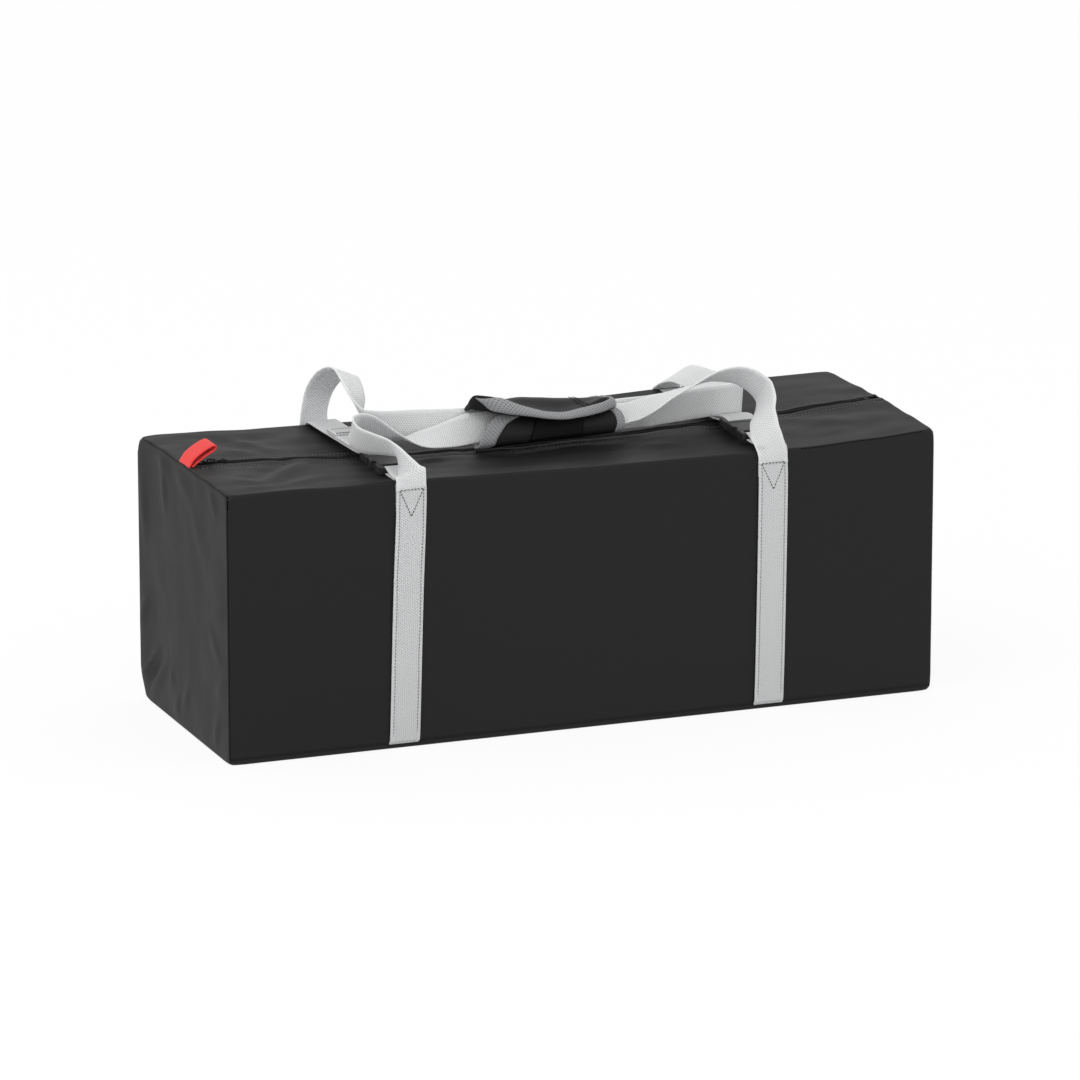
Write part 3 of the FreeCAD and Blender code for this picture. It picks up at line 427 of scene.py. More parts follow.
pumpPlastic = mouldedMaterial("pumpPlastic", (0.03, 0.03, 0.03), (0.02, 0.02, 0.02), 0.35)
print("materials made")


# Shared makers

def finishPiece(name, bm, material, body, smooth=True):
    mesh = bpy.data.meshes.new(name)
    bm.to_mesh(mesh)
    bm.free()
    mesh.materials.append(material)
    for face in mesh.polygons:
        face.use_smooth = smooth
    piece = bpy.data.objects.new(name, mesh)
    bpy.context.scene.collection.objects.link(piece)
    if body:
        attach(piece, body)
    return piece


def smoothPath(stations, steps):
    # Catmull-Rom curve through the stations, each a place and a direction across.
    places = [Vector(place) for place, across in stations]
    acrosses = [Vector(across).normalized() for place, across in stations]
    out = []
    for index in range(len(stations) - 1):
        for step in range(steps):
            share = step / steps
            out.append((catmull(places, index, share), catmull(acrosses, index, share).normalized()))
    out.append((places[-1], acrosses[-1]))
    return out


def catmull(values, index, share):
    before = values[max(index - 1, 0)]
    start = values[index]
    end = values[index + 1]
    after = values[min(index + 2, len(values) - 1)]
    return 0.5 * (2 * start + (end - before) * share + (2 * before - 5 * start + 4 * end - after) * share ** 2
                  + (3 * start - before - 3 * end + after) * share ** 3)


def stripProfile(width, thickness, count=7):
    # Points round a strip's thin rounded cross section, as (across, through, run).
    half, deep = width / 2, thickness / 2
    shoulder, nose = deep * 0.6, deep * 0.4
    spots = [half * (2 * i / (count - 1) - 1) for i in range(count)]
    spots[0] += shoulder
    spots[-1] -= shoulder
    ring = ([(x, deep) for x in spots] + [(half, nose), (half, -nose)]
            + [(x, -deep) for x in reversed(spots)] + [(-half, -nose), (-half, nose)])
    return [(x, z, x) for x, z in ring + ring[:1]]


def sweepProfile(frames, profile):
    # Pulls a closed profile of (across, through, run) through frames of (place, across, through).
    # The mesh starts as a grid whose first and last columns are merged. UV is (run, along) in metres.
    bm = bmesh.new()
    uvLayer = bm.loops.layers.uv.new("webbing")
    columns = len(profile)
    bmesh.ops.create_grid(bm, x_segments=columns - 1, y_segments=len(frames) - 1, size=1.0)
    bm.verts.ensure_lookup_table()
    along = 0.0
    places = {}
    for row, (place, across, through) in enumerate(frames):
        if row:
            along += (place - frames[row - 1][0]).length
        for column, (a, b, run) in enumerate(profile):
            vert = bm.verts[row * columns + column]
            vert.co = (place + across * a + through * b) * mm
            places[vert] = (run * mm, along * mm)
    closeSweep(bm, uvLayer, places)
    return bm


def closeSweep(bm, uvLayer, spots):
    # Writes the UV map, merges the last column with the first one and closes both ends
    for face in bm.faces:
        for loop in face.loops:
            loop[uvLayer].uv = spots[loop.vert]
    bmesh.ops.remove_doubles(bm, verts=bm.verts[:], dist=0.000001)
    caps = bmesh.ops.holes_fill(bm, edges=[edge for edge in bm.edges if edge.is_boundary], sides=0)["faces"]
    bmesh.ops.triangulate(bm, faces=caps)
    bmesh.ops.recalc_face_normals(bm, faces=bm.faces[:])


def ribbonFrames(stations, steps):
    # The direction across is kept as given, and the one through the webbing is square to it and to the path.
    frames = []
    path = smoothPath(stations, steps)
    for index, (place, across) in enumerate(path):
        along = (path[min(index + 1, len(path) - 1)][0] - path[max(index - 1, 0)][0]).normalized()
        frames.append((place, across, along.cross(across).normalized()))
    return frames


def makeRibbon(name, stations, width, thickness, material, body, steps=6):
    # Webbing drawn by pulling its cross section along the stations
    bm = sweepProfile(ribbonFrames(stations, steps), stripProfile(width, thickness))
    return finishPiece(name, bm, material, body)


def makeStitches(name, rows, body, slotName, material, pitch=2.75, length=2.1, radius=0.36):
    # Rows of short thread lozenges. Each row is a list of points in millimetres.
    bm = bmesh.new()
    for row in rows:
        points = [Vector(point) for point in row]
        spans = [(second - first).length for first, second in zip(points, points[1:])]
        total = sum(spans)
        count = max(1, round(total / pitch))
        for number in range(count):
            at = total * (number + 0.5) / count
            index = 0
            while index < len(spans) - 1 and at > spans[index]:
                at -= spans[index]
                index += 1
            along = (points[index + 1] - points[index]).normalized()
            place = points[index] + along * at
            turn = along.to_track_quat("X", "Z").to_matrix().to_4x4()
            size = Matrix.Diagonal((length / 2, radius, radius, 1))
            bmesh.ops.create_uvsphere(bm, u_segments=6, v_segments=4, radius=1.0,
                                      matrix=Matrix.Scale(mm, 4) @ Matrix.Translation(place) @ turn @ size)
    return finishPiece(name, bm, material, body)


# Bag shell: one skin with rounded edges that sags along the zip

bag = {
    "length": 610.0,
    "width": 215.0,
    "height": 220.0,
    "edgeRadius": 2.8,
    "cornerRadius": 5.0,
    "cornerReach": 12.0,
    "grid": 4.4,
    # Extra rows of the mesh beside each edge, and beside the zip
    "edgeCuts": [0.4, 0.9, 1.6, 2.3, 3.2, 5.0, 8.0],
    "zipCuts": [4.6, 5.2, 6.2, 8.5, 11.2, 12.4, 13.5, 14.6, 15.8],
    # Heights along x of the top's middle, front edge and back edge
    "zipLine": [(-305, 222), (-280, 221.2), (-250, 219.3), (-220, 218.6), (-183, 216.2), (-161, 214.3),
                (-100, 212.5), (-36, 211.5), (34, 212.2), (71, 212.8), (136, 215.2), (214, 218.4),
                (245, 220.8), (290, 223.4), (305, 224.4)],
    "frontLine": [(-305, 221), (-250, 221.5), (-205, 219.7), (-163, 221), (-137, 220), (-92, 219),
                  (28, 217), (134, 216.3), (194, 216.3), (245, 218.4), (305, 221.4)],
    "backLine": [(-305, 220.6), (-290, 221.3), (-255, 220.9), (-212, 219), (-160, 218.5), (-98, 217),
                 (50, 219), (87, 220), (150, 221.6), (250, 223.2), (305, 223.6)],
    "sagFrom": 120.0,  # the walls begin to follow those lines at this height
    "sagRun": 96.0,
    "topRipple": 1.1,
    "zipRipple": 0.7,
    "zipRippleReach": 24.0,
    "endSwell": 1.6,
    "endRipple": 0.8,
    "faceSwell": 1.0,
    "faceRipple": 0.5,
    "cornerPush": (-2.6, 3.6, 0),
    "cornerPushReach": 24.0,
    "slotHalf": 4.6,
    "slotEnd": 302.0,
    "hemRise": 0.7,
    "hemRow": 13.5,
    "hemGroove": 0.3,
    "hemGrooveWidth": 1.3,
    "hemDrop": 2.2,
    "hemLean": 0.6,
    "endSeamDepth": 0.8,
    "bottomSeam": 4.6,
    "bottomSeamDepth": 0.9,
}


def lineValue(line, x):
    if x <= line[0][0]:
        return line[0][1]
    for (x0, v0), (x1, v1) in zip(line, line[1:]):
        if x <= x1:
            return v0 + (v1 - v0) * ease((x - x0) / (x1 - x0))
    return line[-1][1]


def ease(value):
    value = max(0.0, min(1.0, value))
    return value * value * (3 - 2 * value)


def hump(value):
    return exp(-value ** 2)


# Soft folds, read off the photograph: two ends on a panel, height in millimetres and width to each side.
# On the ends they are (y, z), on the top (x, y).
endFolds = [
    {"from": (105, 17), "to": (66, 50), "height": 3.2, "width": 5},
    {"from": (88, 9), "to": (42, 47), "height": 2.6, "width": 5},
    {"from": (97, 12), "to": (55, 49), "height": -2.2, "width": 5},
    {"from": (102, 27), "to": (77, 46), "height": -1.6, "width": 4.5},
    {"from": (38, 28), "to": (27, 46), "height": 1.6, "width": 4},
    {"from": (28, 7), "to": (14, 21), "height": 1.4, "width": 4},
    {"from": (7, 17), "to": (-11, 38), "height": 1.6, "width": 4.5},
    {"from": (-72, 9), "to": (-83, 34), "height": 1.8, "width": 4.5},
    {"from": (-68, 98), "to": (-88, 83), "height": 1.4, "width": 4.5},
    {"from": (-55, 107), "to": (-98, 124), "height": 1.4, "width": 5},
    {"from": (-80, 50), "to": (-100, 69), "height": 1.4, "width": 4.5},
    {"from": (108, 58), "to": (88, 89), "height": 2.2, "width": 5},
    {"from": (51, 211), "to": (45, 172), "height": 1.8, "width": 5},
    {"from": (66, 216), "to": (30, 204), "height": 2.0, "width": 6},
    {"from": (20, 209), "to": (-16, 202), "height": 2.2, "width": 6},
    {"from": (-66, 216), "to": (-80, 200), "height": 1.6, "width": 5},
    {"from": (-16, 200), "to": (-58, 152), "height": 1.0, "width": 9},
    {"from": (97, 186), "to": (92, 138), "height": 1.4, "width": 5},
]
topFolds = [
    {"from": (-257, -72), "to": (-204, -9), "height": 3.2, "width": 8},
    {"from": (-272, -66), "to": (-222, -12), "height": -2.0, "width": 8},
    {"from": (-284, -54), "to": (-263, -82), "height": 1.8, "width": 5},
    {"from": (-287, -89), "to": (-248, -91), "height": 1.6, "width": 4.5},
    {"from": (-249, -91), "to": (-208, -65), "height": 2.2, "width": 5.5},
    {"from": (-205, -88), "to": (-172, -96), "height": 1.4, "width": 5},
    {"from": (-247, 91), "to": (-221, 32), "height": 2.0, "width": 7},
    {"from": (-284, 98), "to": (-256, 97), "height": 1.2, "width": 5},
    {"from": (-272, 60), "to": (-240, 22), "height": 1.2, "width": 7},
    {"from": (-130, -34), "to": (-78, -18), "height": 1.8, "width": 6},
    {"from": (-60, -46), "to": (34, -26), "height": 1.5, "width": 6},
    {"from": (60, -40), "to": (112, -66), "height": 1.3, "width": 8},
    {"from": (205, -18), "to": (262, -62), "height": 1.4, "width": 9},
    {"from": (196, 24), "to": (232, 76), "height": 1.4, "width": 9},
]


def foldHeight(folds, a, b):
    total = 0.0
    for fold in folds:
        ax, ay = fold["from"]
        bx, by = fold["to"]
        dx, dy = bx - ax, by - ay
        share = max(0.0, min(1.0, ((a - ax) * dx + (b - ay) * dy) / (dx * dx + dy * dy)))
        gap = sqrt((a - ax - dx * share) ** 2 + (b - ay - dy * share) ** 2)
        total += fold["height"] * hump(gap / fold["width"]) * (0.3 + 0.7 * sin(pi * share))
    return total


def roundBox(point):
    # Moves a point of the plain box onto the rounded one. Corners are rounder than edges.
    halfX, halfY, height = bag["length"] / 2, bag["width"] / 2, bag["height"]
    corner = Vector((halfX if point.x > 0 else -halfX, halfY if point.y > 0 else -halfY,
                     height if point.z > height / 2 else 0))
    near = ease(1 - (point - corner).length / bag["cornerReach"])
    radius = bag["edgeRadius"] + (bag["cornerRadius"] - bag["edgeRadius"]) * near
    inner = Vector((max(-halfX + radius, min(halfX - radius, point.x)),
                    max(-halfY + radius, min(halfY - radius, point.y)),
                    max(radius, min(height - radius, point.z))))
    out = (point - inner).normalized()
    return inner + out * radius, out


def topRise(x, y, fall):
    # Folds and ripples of the top, and the groove of the stitching by the zip. They fade out at the edges.
    inX, inY = bag["length"] / 2 - abs(x), bag["width"] / 2 - abs(y)
    rise = foldHeight(topFolds, x, y) * fall ** 0.3 * ease(inX / 14)
    rise += bag["topRipple"] * noise.noise(Vector((x * 0.022, y * 0.05, 3.0))) * ease(inY / 12)
    ripples = bag["zipRipple"] * noise.noise(Vector((x * 0.07, y * 0.02, 8.0)))
    rise += ripples * hump(y / bag["zipRippleReach"]) * ease(inX / 14)
    groove = hump((abs(y) - bag["hemRow"]) / bag["hemGrooveWidth"])
    return rise - bag["hemGroove"] * groove * ease(inX / 8)


def endRise(side, y, z):
    # How far an end stands out. The right end has the left end's folds, turned round.
    inY, inZ = bag["width"] / 2 - abs(y), min(z, bag["height"] - z)
    swell = bag["endSwell"] * sin(pi * z / bag["height"]) * cos(pi * y / bag["width"])
    ripple = bag["endRipple"] * noise.noise(Vector((7.0 + side, y * 0.03, z * 0.02)))
    folds = foldHeight(endFolds, -side * y, z)
    return (swell + (folds + ripple) * 0.8) * ease(inY / 10) * ease(inZ / 10)


def faceRise(side, x, z):
    # How far the front or the back stands out
    inX, inZ = bag["length"] / 2 - abs(x), min(z, bag["height"] - z)
    swell = bag["faceSwell"] * sin(pi * z / bag["height"]) * cos(pi * x / bag["length"])
    ripple = bag["faceRipple"] * noise.noise(Vector((x * 0.012, 11.0 + side, z * 0.03)))
    return (swell + ripple) * ease(inZ / 12) * ease(inX / 12)


def bagSurface(point):
    # Rounded box first, then sag, bulge, folds and seams. Works in millimetres and also gives the mask of the
    # painted shade in the sunken seams.
    halfX, halfY, height = bag["length"] / 2, bag["width"] / 2, bag["height"]
    radius = bag["edgeRadius"]
    place, out = roundBox(point)
    x, y, z = place
    middle, front, back = [lineValue(bag[name], x) - height for name in ("zipLine", "frontLine", "backLine")]
    near = min(1.0, abs(y) / (halfY - 2)) ** 1.5
    edge = front if y < 0 else back
    place.z += (middle * (1 - near) + edge * near) * ease((z - bag["sagFrom"]) / bag["sagRun"])
    if z > height - radius:
        place.z += topRise(x, y, 1 - near)
    if abs(x) > halfX - radius:
        side = 1 if x > 0 else -1
        place.x += side * endRise(side, y, z)
    if abs(y) > halfY - radius:
        side = 1 if y > 0 else -1
        place.y += side * faceRise(side, x, z)
    if x < 0 < y:
        # The upright edge at the back of the tab's end is pushed out by what is packed inside.
        away = sqrt((halfX + x) ** 2 + (halfY - y) ** 2)
        push = hump(away / bag["cornerPushReach"]) * ease(z / 30) * (0.6 + 0.4 * ease((height - z) / 14))
        place += Vector(bag["cornerPush"]) * push
    # Sunken seams also get painted shade: this mask darkens their colour.
    seamShade = 0.0
    atEnd = abs(abs(point.x) - halfX) < 0.01
    nearOther = min(halfY - abs(point.y), height - point.z, point.z)
    if atEnd and nearOther < 0.5:
        seamShade = 1.0
        place -= out * bag["endSeamDepth"]
    if abs(point.y) > halfY - 0.01 and abs(point.z - bag["bottomSeam"]) < 0.6:
        seamShade = 1.0
        place -= out * bag["bottomSeamDepth"]
    return place, seamShade


def topPoint(x, y, lift=0.0):
    # A point on the bag's top, in millimetres
    return bagSurface(Vector((x, y, bag["height"])))[0] + Vector((0, 0, lift))


def gridCuts(half, low, grid, extra):
    # Even rows of the mesh, left out where an extra row is near
    cuts = set(round(value, 3) for value in extra)
    count = int((2 * half) / grid)
    for index in range(1, count):
        value = low + 2 * half * index / count
        if all(abs(value - other) > grid * 0.35 for other in extra):
            cuts.add(round(value, 3))
    return sorted(cuts)


edgeRows = {
    "uprightZ": range(8, 208, 4),
    "alongX": range(186, 298, 4),
    "thread": {"pitch": 3.0, "length": 2.0, "radius": 0.42},
    "notchZ": (209, 213, 217),
    "cornerY": (-106.5, -103.5),
    "notchThread": {"pitch": 2.4, "length": 3.4, "radius": 0.75},
}


def rowOn(points, lift):
    # Points of a seam on the bag's skin, each moved out a little
    return [bagSurface(Vector(point))[0] + Vector(lift) for point in points]


def makeEdgeStitches():
    # Black thread that shows in the seams: down the front corner by the tab, and along the top's front edge
    halfX, halfY, height = bag["length"] / 2, bag["width"] / 2, bag["height"]
    upright = rowOn([(-halfX, -halfY, z) for z in edgeRows["uprightZ"]], (-0.3, -0.5, 0))
    along = rowOn([(x, -halfY, height) for x in edgeRows["alongX"]], (0, -0.4, 0.1))
    makeStitches("edgeStitches", [upright, along], "bag", "bag_cloth", blackThread, **edgeRows["thread"])
    notch = rowOn([(-halfX, -halfY, z) for z in edgeRows["notchZ"]], (-0.2, -0.4, 0))
    corner = rowOn([(-halfX, y, height) for y in edgeRows["cornerY"]], (-0.2, 0, 0.3))
    makeStitches("cornerNotch", [notch, corner], "bag", "bag_cloth", blackThread, **edgeRows["notchThread"])


def makeBagShell():
    halfX, halfY, height = bag["length"] / 2, bag["width"] / 2, bag["height"]
    bm = bmesh.new()
    size = Matrix.Diagonal((2 * halfX, 2 * halfY, height, 1))
    bmesh.ops.create_cube(bm, size=1.0, matrix=Matrix.Translation((0, 0, height / 2)) @ size)
    rim = bag["edgeCuts"]
    edgeX = [side * (halfX - gap) for side in (-1, 1) for gap in rim]
    edgeY = [side * (halfY - gap) for side in (-1, 1) for gap in rim]
    edgeZ = rim + [height - gap for gap in rim] + [bag["bottomSeam"] - 0.4, bag["bottomSeam"]]
    slot = [side * value for side in (-1, 1) for value in bag["zipCuts"]]
    ends = [-bag["slotEnd"], bag["slotEnd"]]
    plans = (((1, 0, 0), gridCuts(halfX, -halfX, bag["grid"], edgeX + ends)),
             ((0, 1, 0), gridCuts(halfY, -halfY, bag["grid"], edgeY + slot)),
             ((0, 0, 1), gridCuts(height / 2, 0, bag["grid"], edgeZ)))
    for axis, cuts in plans:
        for value in cuts:
            geometry = bm.verts[:] + bm.edges[:] + bm.faces[:]
            bmesh.ops.bisect_plane(bm, geom=geometry, dist=0.0001, plane_co=Vector(axis) * value,
                                   plane_no=axis)
    gone = [face for face in bm.faces
            if face.calc_center_median().z > height - 0.01
            and abs(face.calc_center_median().y) < bag["slotHalf"]
            and abs(face.calc_center_median().x) < bag["slotEnd"]]
    bmesh.ops.delete(bm, geom=gone, context="FACES")
    # Layer for the painted shade of the sunken seams
    dark = bm.verts.layers.float.new("seamShade")
    for vert in bm.verts:
        start = vert.co.copy()
        vert.co, vert[dark] = bagSurface(start)
        onTop = start.z > height - 0.01 and abs(start.x) < bag["slotEnd"] + 1
        if onTop and abs(start.y) < bag["slotHalf"] + 0.01:
            vert.co.z += bag["hemRise"] * 0.3
        elif onTop and abs(start.y) < bag["hemRow"]:
            vert.co.z += bag["hemRise"] * ease((bag["hemRow"] - abs(start.y)) / 6.0)
    hem = [edge for edge in bm.edges if edge.is_boundary]
    grown = bmesh.ops.extrude_edge_only(bm, edges=hem)["geom"]
    for item in grown:
        if isinstance(item, bmesh.types.BMVert):
            item.co.z -= bag["hemDrop"]
            item.co.y += bag["hemLean"] if item.co.y > 0 else -bag["hemLean"]
    bmesh.ops.scale(bm, vec=(mm, mm, mm), verts=bm.verts[:])
    bmesh.ops.recalc_face_normals(bm, faces=bm.faces[:])
    shell = finishPiece("bagShell", bm, bagCloth, "bag")
    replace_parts(shell, "bag_front_panel", "bag_back_panel", "bag_bottom_panel", "bag_left_end",
                "bag_right_end", "bag_top_front", "bag_top_back")


makeBagShell()
makeEdgeStitches()
print("bag shell made")


# Straps sewn on the faces and the four free legs of the handles

webbing = {"width": 25.4, "thickness": 1.5, "looseThickness": 1.3}

faceStraps = {
    "strap_front_left": [((-157.6, -106.6, 4.4), (1, 0, 0)), ((-157.5, -108.2, 6.5), (1, 0, 0)),
                         ((-157.2, -109.0, 12), (1, 0, 0)), ((-156, -109.6, 60), (1, 0, 0)),
                         ((-154, -109.8, 130), (1, 0, 0)), ((-151.4, -109.4, 190), (1, 0, 0)),
                         ((-150.8, -109, 214.2), (1, 0, 0))],
    "strap_front_right": [((158.8, -106.6, 4.4), (1, 0, 0)), ((158.8, -108.2, 6.5), (1, 0, 0)),
                          ((158.9, -109.0, 12), (1, 0, 0)), ((159.6, -109.6, 60), (1, 0, 0)),
                          ((160.4, -109.8, 130), (1, 0, 0)), ((161, -109.4, 190), (1, 0, 0)),
                          ((160.6, -109, 207.8), (1, 0, 0))],
    "strap_back_left": [((-157, 106.6, 4.4), (1, 0, 0)), ((-157, 108.2, 6.5), (1, 0, 0)),
                        ((-157, 109.0, 12), (1, 0, 0)), ((-156.4, 109.6, 60), (1, 0, 0)),
                        ((-155.6, 109.8, 130), (1, 0, 0)), ((-155, 109.4, 190), (1, 0, 0)),
                        ((-155, 109, 218), (1, 0, 0))],
    "strap_back_right": [((157, 106.6, 4.4), (1, 0, 0)), ((157, 108.2, 6.5), (1, 0, 0)),
                         ((157, 109.0, 12), (1, 0, 0)), ((157, 109.6, 60), (1, 0, 0)),
                         ((157, 109.8, 130), (1, 0, 0)), ((157, 109.4, 190), (1, 0, 0)),
                         ((157, 109, 216), (1, 0, 0))],
}

# Each free leg: places along its middle and the direction across it, picked from the photograph's outline
freeLegs = {
    "handle_leg_back_left": [
        ((-155, 109.2, 214), (1, 0, 0)),
        ((-154.5, 111, 227), (0.97, 0.2, -0.15)),
        ((-150, 110.5, 245), (0.96, 0.13, -0.24)),
        ((-144, 99, 260), (0.94, 0.06, -0.32)),
        ((-140, 76, 266.7), (0.91, 0.06, -0.41)),
        ((-142, 50, 258.4), (0.82, 0.13, -0.56)),
        ((-145, 35, 248.8), (0.56, 0.35, -0.75)),
        ((-145, 19, 241), (0.29, 0.42, -0.86)),
        ((-140, 11, 238.7), (0.1, 0.33, -0.94)),
        ((-125, 3, 237.5), (0, 0.1, -0.99)),
        ((-96, -1, 236.4), (-0.1, -0.35, -0.9)),
        ((-64.5, -6.5, 236), (0, -0.42, -0.91)),
        ((-30, -6.3, 233), (0, -0.55, -0.83)),
    ],
    "handle_leg_front_left": [
        ((-151, -109.2, 212.4), (1, 0, 0)),
        ((-151.2, -109.6, 219), (1, 0.05, 0.02)),
        ((-151.8, -109.6, 226), (0.96, -0.1, 0.2)),
        ((-152.5, -107.5, 227.7), (0.57, -0.68, 0.46)),
        ((-153.4, -105, 229.6), (0.33, -0.75, 0.57)),
        ((-155.2, -101, 233.3), (0.05, -0.69, 0.73)),
        ((-157, -97.5, 237.2), (-0.19, -0.53, 0.81)),
        ((-158, -89, 241.2), (-0.46, -0.45, 0.77)),
        ((-159.5, -83, 242.6), (-0.54, -0.41, 0.74)),
        ((-167, -72, 243.3), (-0.45, -0.34, 0.83)),
        ((-174, -61, 243.9), (-0.31, -0.24, 0.92)),
        ((-177, -51, 245.4), (-0.12, -0.18, 0.98)),
        ((-176, -40, 247.6), (0.04, -0.2, 0.98)),
        ((-172, -34, 248.6), (0.22, -0.32, 0.92)),
        ((-167, -28, 249.2), (0.39, -0.49, 0.78)),
        ((-158, -24, 247.4), (0.42, -0.67, 0.61)),
        ((-148, -23, 242.2), (0.35, -0.82, 0.46)),
        ((-136, -22, 235.3), (0.26, -0.91, 0.32)),
        ((-119, -20, 229.3), (0.14, -0.99, -0.01)),
        ((-106, -18, 228.9), (0.11, -0.94, -0.33)),
        ((-92, -16, 229.6), (0.08, -0.85, -0.51)),
        ((-74, -14, 232), (0.03, -0.6, -0.8)),
        ((-59.5, -12.5, 233.6), (0, -0.42, -0.91)),
        ((-30, -12.5, 232.5), (0, -0.58, -0.81)),
    ],
    "handle_leg_front_right": [
        ((161, -109.2, 206), (1, 0, 0)),
        ((160, -109.2, 215), (1, 0.02, 0.04)),
        ((159, -103, 224), (0.99, -0.11, 0.13)),
        ((158.2, -98, 229.8), (0.83, -0.43, 0.37)),
        ((160, -91, 235.3), (0.72, -0.51, 0.47)),
        ((163, -82, 239.6), (0.64, -0.51, 0.57)),
        ((171, -68, 244.1), (0.54, -0.48, 0.69)),
        ((177, -52, 249.8), (0.34, -0.43, 0.83)),
        ((176, -45, 253.7), (0.14, -0.45, 0.88)),
        ((170, -41.5, 259.2), (0, -0.53, 0.85)),
        ((161.5, -36, 262.8), (-0.15, -0.65, 0.75)),
        ((151.5, -31.5, 263.2), (-0.21, -0.75, 0.62)),
        ((140, -27, 261), (-0.22, -0.87, 0.45)),
        ((126, -27, 256.5), (-0.19, -0.93, 0.31)),
        ((105, -24, 248.7), (-0.13, -0.99, 0.06)),
        ((92.4, -20.5, 242.4), (-0.08, -0.98, -0.2)),
        ((80.2, -15, 236.6), (-0.02, -0.93, -0.38)),
        ((69.6, -12.5, 234.2), (-0.08, -0.89, -0.44)),
        ((40, -12.5, 232.5), (0, -0.58, -0.81)),
    ],
    "handle_leg_back_right": [
        ((157, 109.2, 214), (1, 0, 0)),
        ((156.5, 108.5, 221.5), (1, 0, 0.08)),
        ((156, 100, 229.5), (0.96, 0.12, 0.27)),
        ((155, 89, 235.8), (0.9, 0.19, 0.39)),
        ((156, 74, 240.9), (0.88, 0.18, 0.44)),
        ((157, 59, 242.6), (0.86, 0.15, 0.49)),
        ((161, 41, 242), (0.82, 0.13, 0.56)),
        ((167, 20, 241), (0.78, 0.14, 0.6)),
        ((174.5, 5, 239.4), (0.6, 0.2, 0.74)),
        ((176.6, -6, 237.8), (0.18, 0.2, 0.95)),
        ((169.6, -12, 238.3), (0.03, 0.08, 0.99)),
        ((150.9, -12, 237.6), (-0.03, 0.05, 0.99)),
        ((130.6, -11.5, 236.3), (-0.03, 0.05, 0.99)),
        ((106.5, -8.5, 234.1), (-0.05, 0.12, 0.99)),
        ((92, -5, 232.2), (-0.06, 0.14, 0.99)),
        ((77, 1, 230.4), (-0.07, 0.15, 0.99)),
        ((40, -2, 230), (0, 0.2, 0.98)),
    ],
}


def makeStraps():
    for name, stations in faceStraps.items():
        strap = makeRibbon(name + "_web", stations, webbing["width"], webbing["thickness"], greyWebbing,
                           "bag", steps=4)
        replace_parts(strap, name)
    # The free legs take the paler webbing, which is painted light on their shaded loops.
    for name, stations in freeLegs.items():
        leg = makeRibbon(name + "_web", stations, webbing["width"], webbing["looseThickness"], paintedLightWebbing,
                         None, steps=6)
        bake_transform(leg)
        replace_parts(leg, name)


makeStraps()
print("webbing made")


# Stitching on the face straps: a row near each edge and a triangle with its top line

stitching = {
    "edgeGap": 2.6,
    "foot": 7.0,
    "edgeThread": {"pitch": 2.75, "length": 2.4, "radius": 0.4},
    "boxThread": {"pitch": 2.75, "length": 2.3, "radius": 0.42},
    "boxTop": {"strap_front_left": 213.3, "strap_front_right": 206.9,
               "strap_back_left": 212.0, "strap_back_right": 208.0},
    "triangleDrop": 22.0,
}


def strapLine(stations, offset, low, high, side):
    # Points up a face strap, offset across it and lying on its outer side
    points = []
    for count in range(23):
        z = low + (high - low) * count / 22
        x = lineValue([(place[2], place[0]) for place, across in stations], z)
        y = lineValue([(place[2], place[1]) for place, across in stations], z)
        points.append((x + offset, y + side * (webbing["thickness"] / 2 + 0.05), z))
    return points


def makeStrapStitches():
    reach = webbing["width"] / 2 - stitching["edgeGap"]
    for name, stations in faceStraps.items():
        side = 1 if "back" in name else -1
        top = stitching["boxTop"][name]
        edges = [strapLine(stations, sign * reach, stitching["foot"], top, side) for sign in (-1, 1)]
        left, right = edges[0][-1], edges[1][-1]
        middle = strapLine(stations, 0.0, stitching["foot"], top - stitching["triangleDrop"], side)[-1]
        box = [[left, right], [left, middle], [right, middle]]
        makeStitches(name + "_edges", edges, "bag", "webbing", edgeThread, **stitching["edgeThread"])
        makeStitches(name + "_box", box, "bag", "webbing", darkThread, **stitching["boxThread"])


makeStrapStitches()
print("strap stitches made")


# Grips inside the wrap

grips = {
    "handle_grip_front": [((-30, -12.5, 232.5), (0, -0.58, -0.81)), ((5, -12.5, 232.3), (0, -0.58, -0.81)),
                          ((40, -12.5, 232.5), (0, -0.58, -0.81))],
    "handle_grip_back": [((-30, -6.3, 233), (0, -0.55, -0.83)), ((5, -6.5, 232.8), (0, -0.55, -0.83)),
                         ((40, -6.8, 232.8), (0, -0.55, -0.83))],
}
for name, stations in grips.items():
    grip = makeRibbon(name + "_web", stations, webbing["width"], webbing["looseThickness"], greyWebbing,
                      "handle", steps=6)
    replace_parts(grip, name)


# Cinch straps: the long one comes over the top, round the ladder's bar and back as a tail with a sewn hem

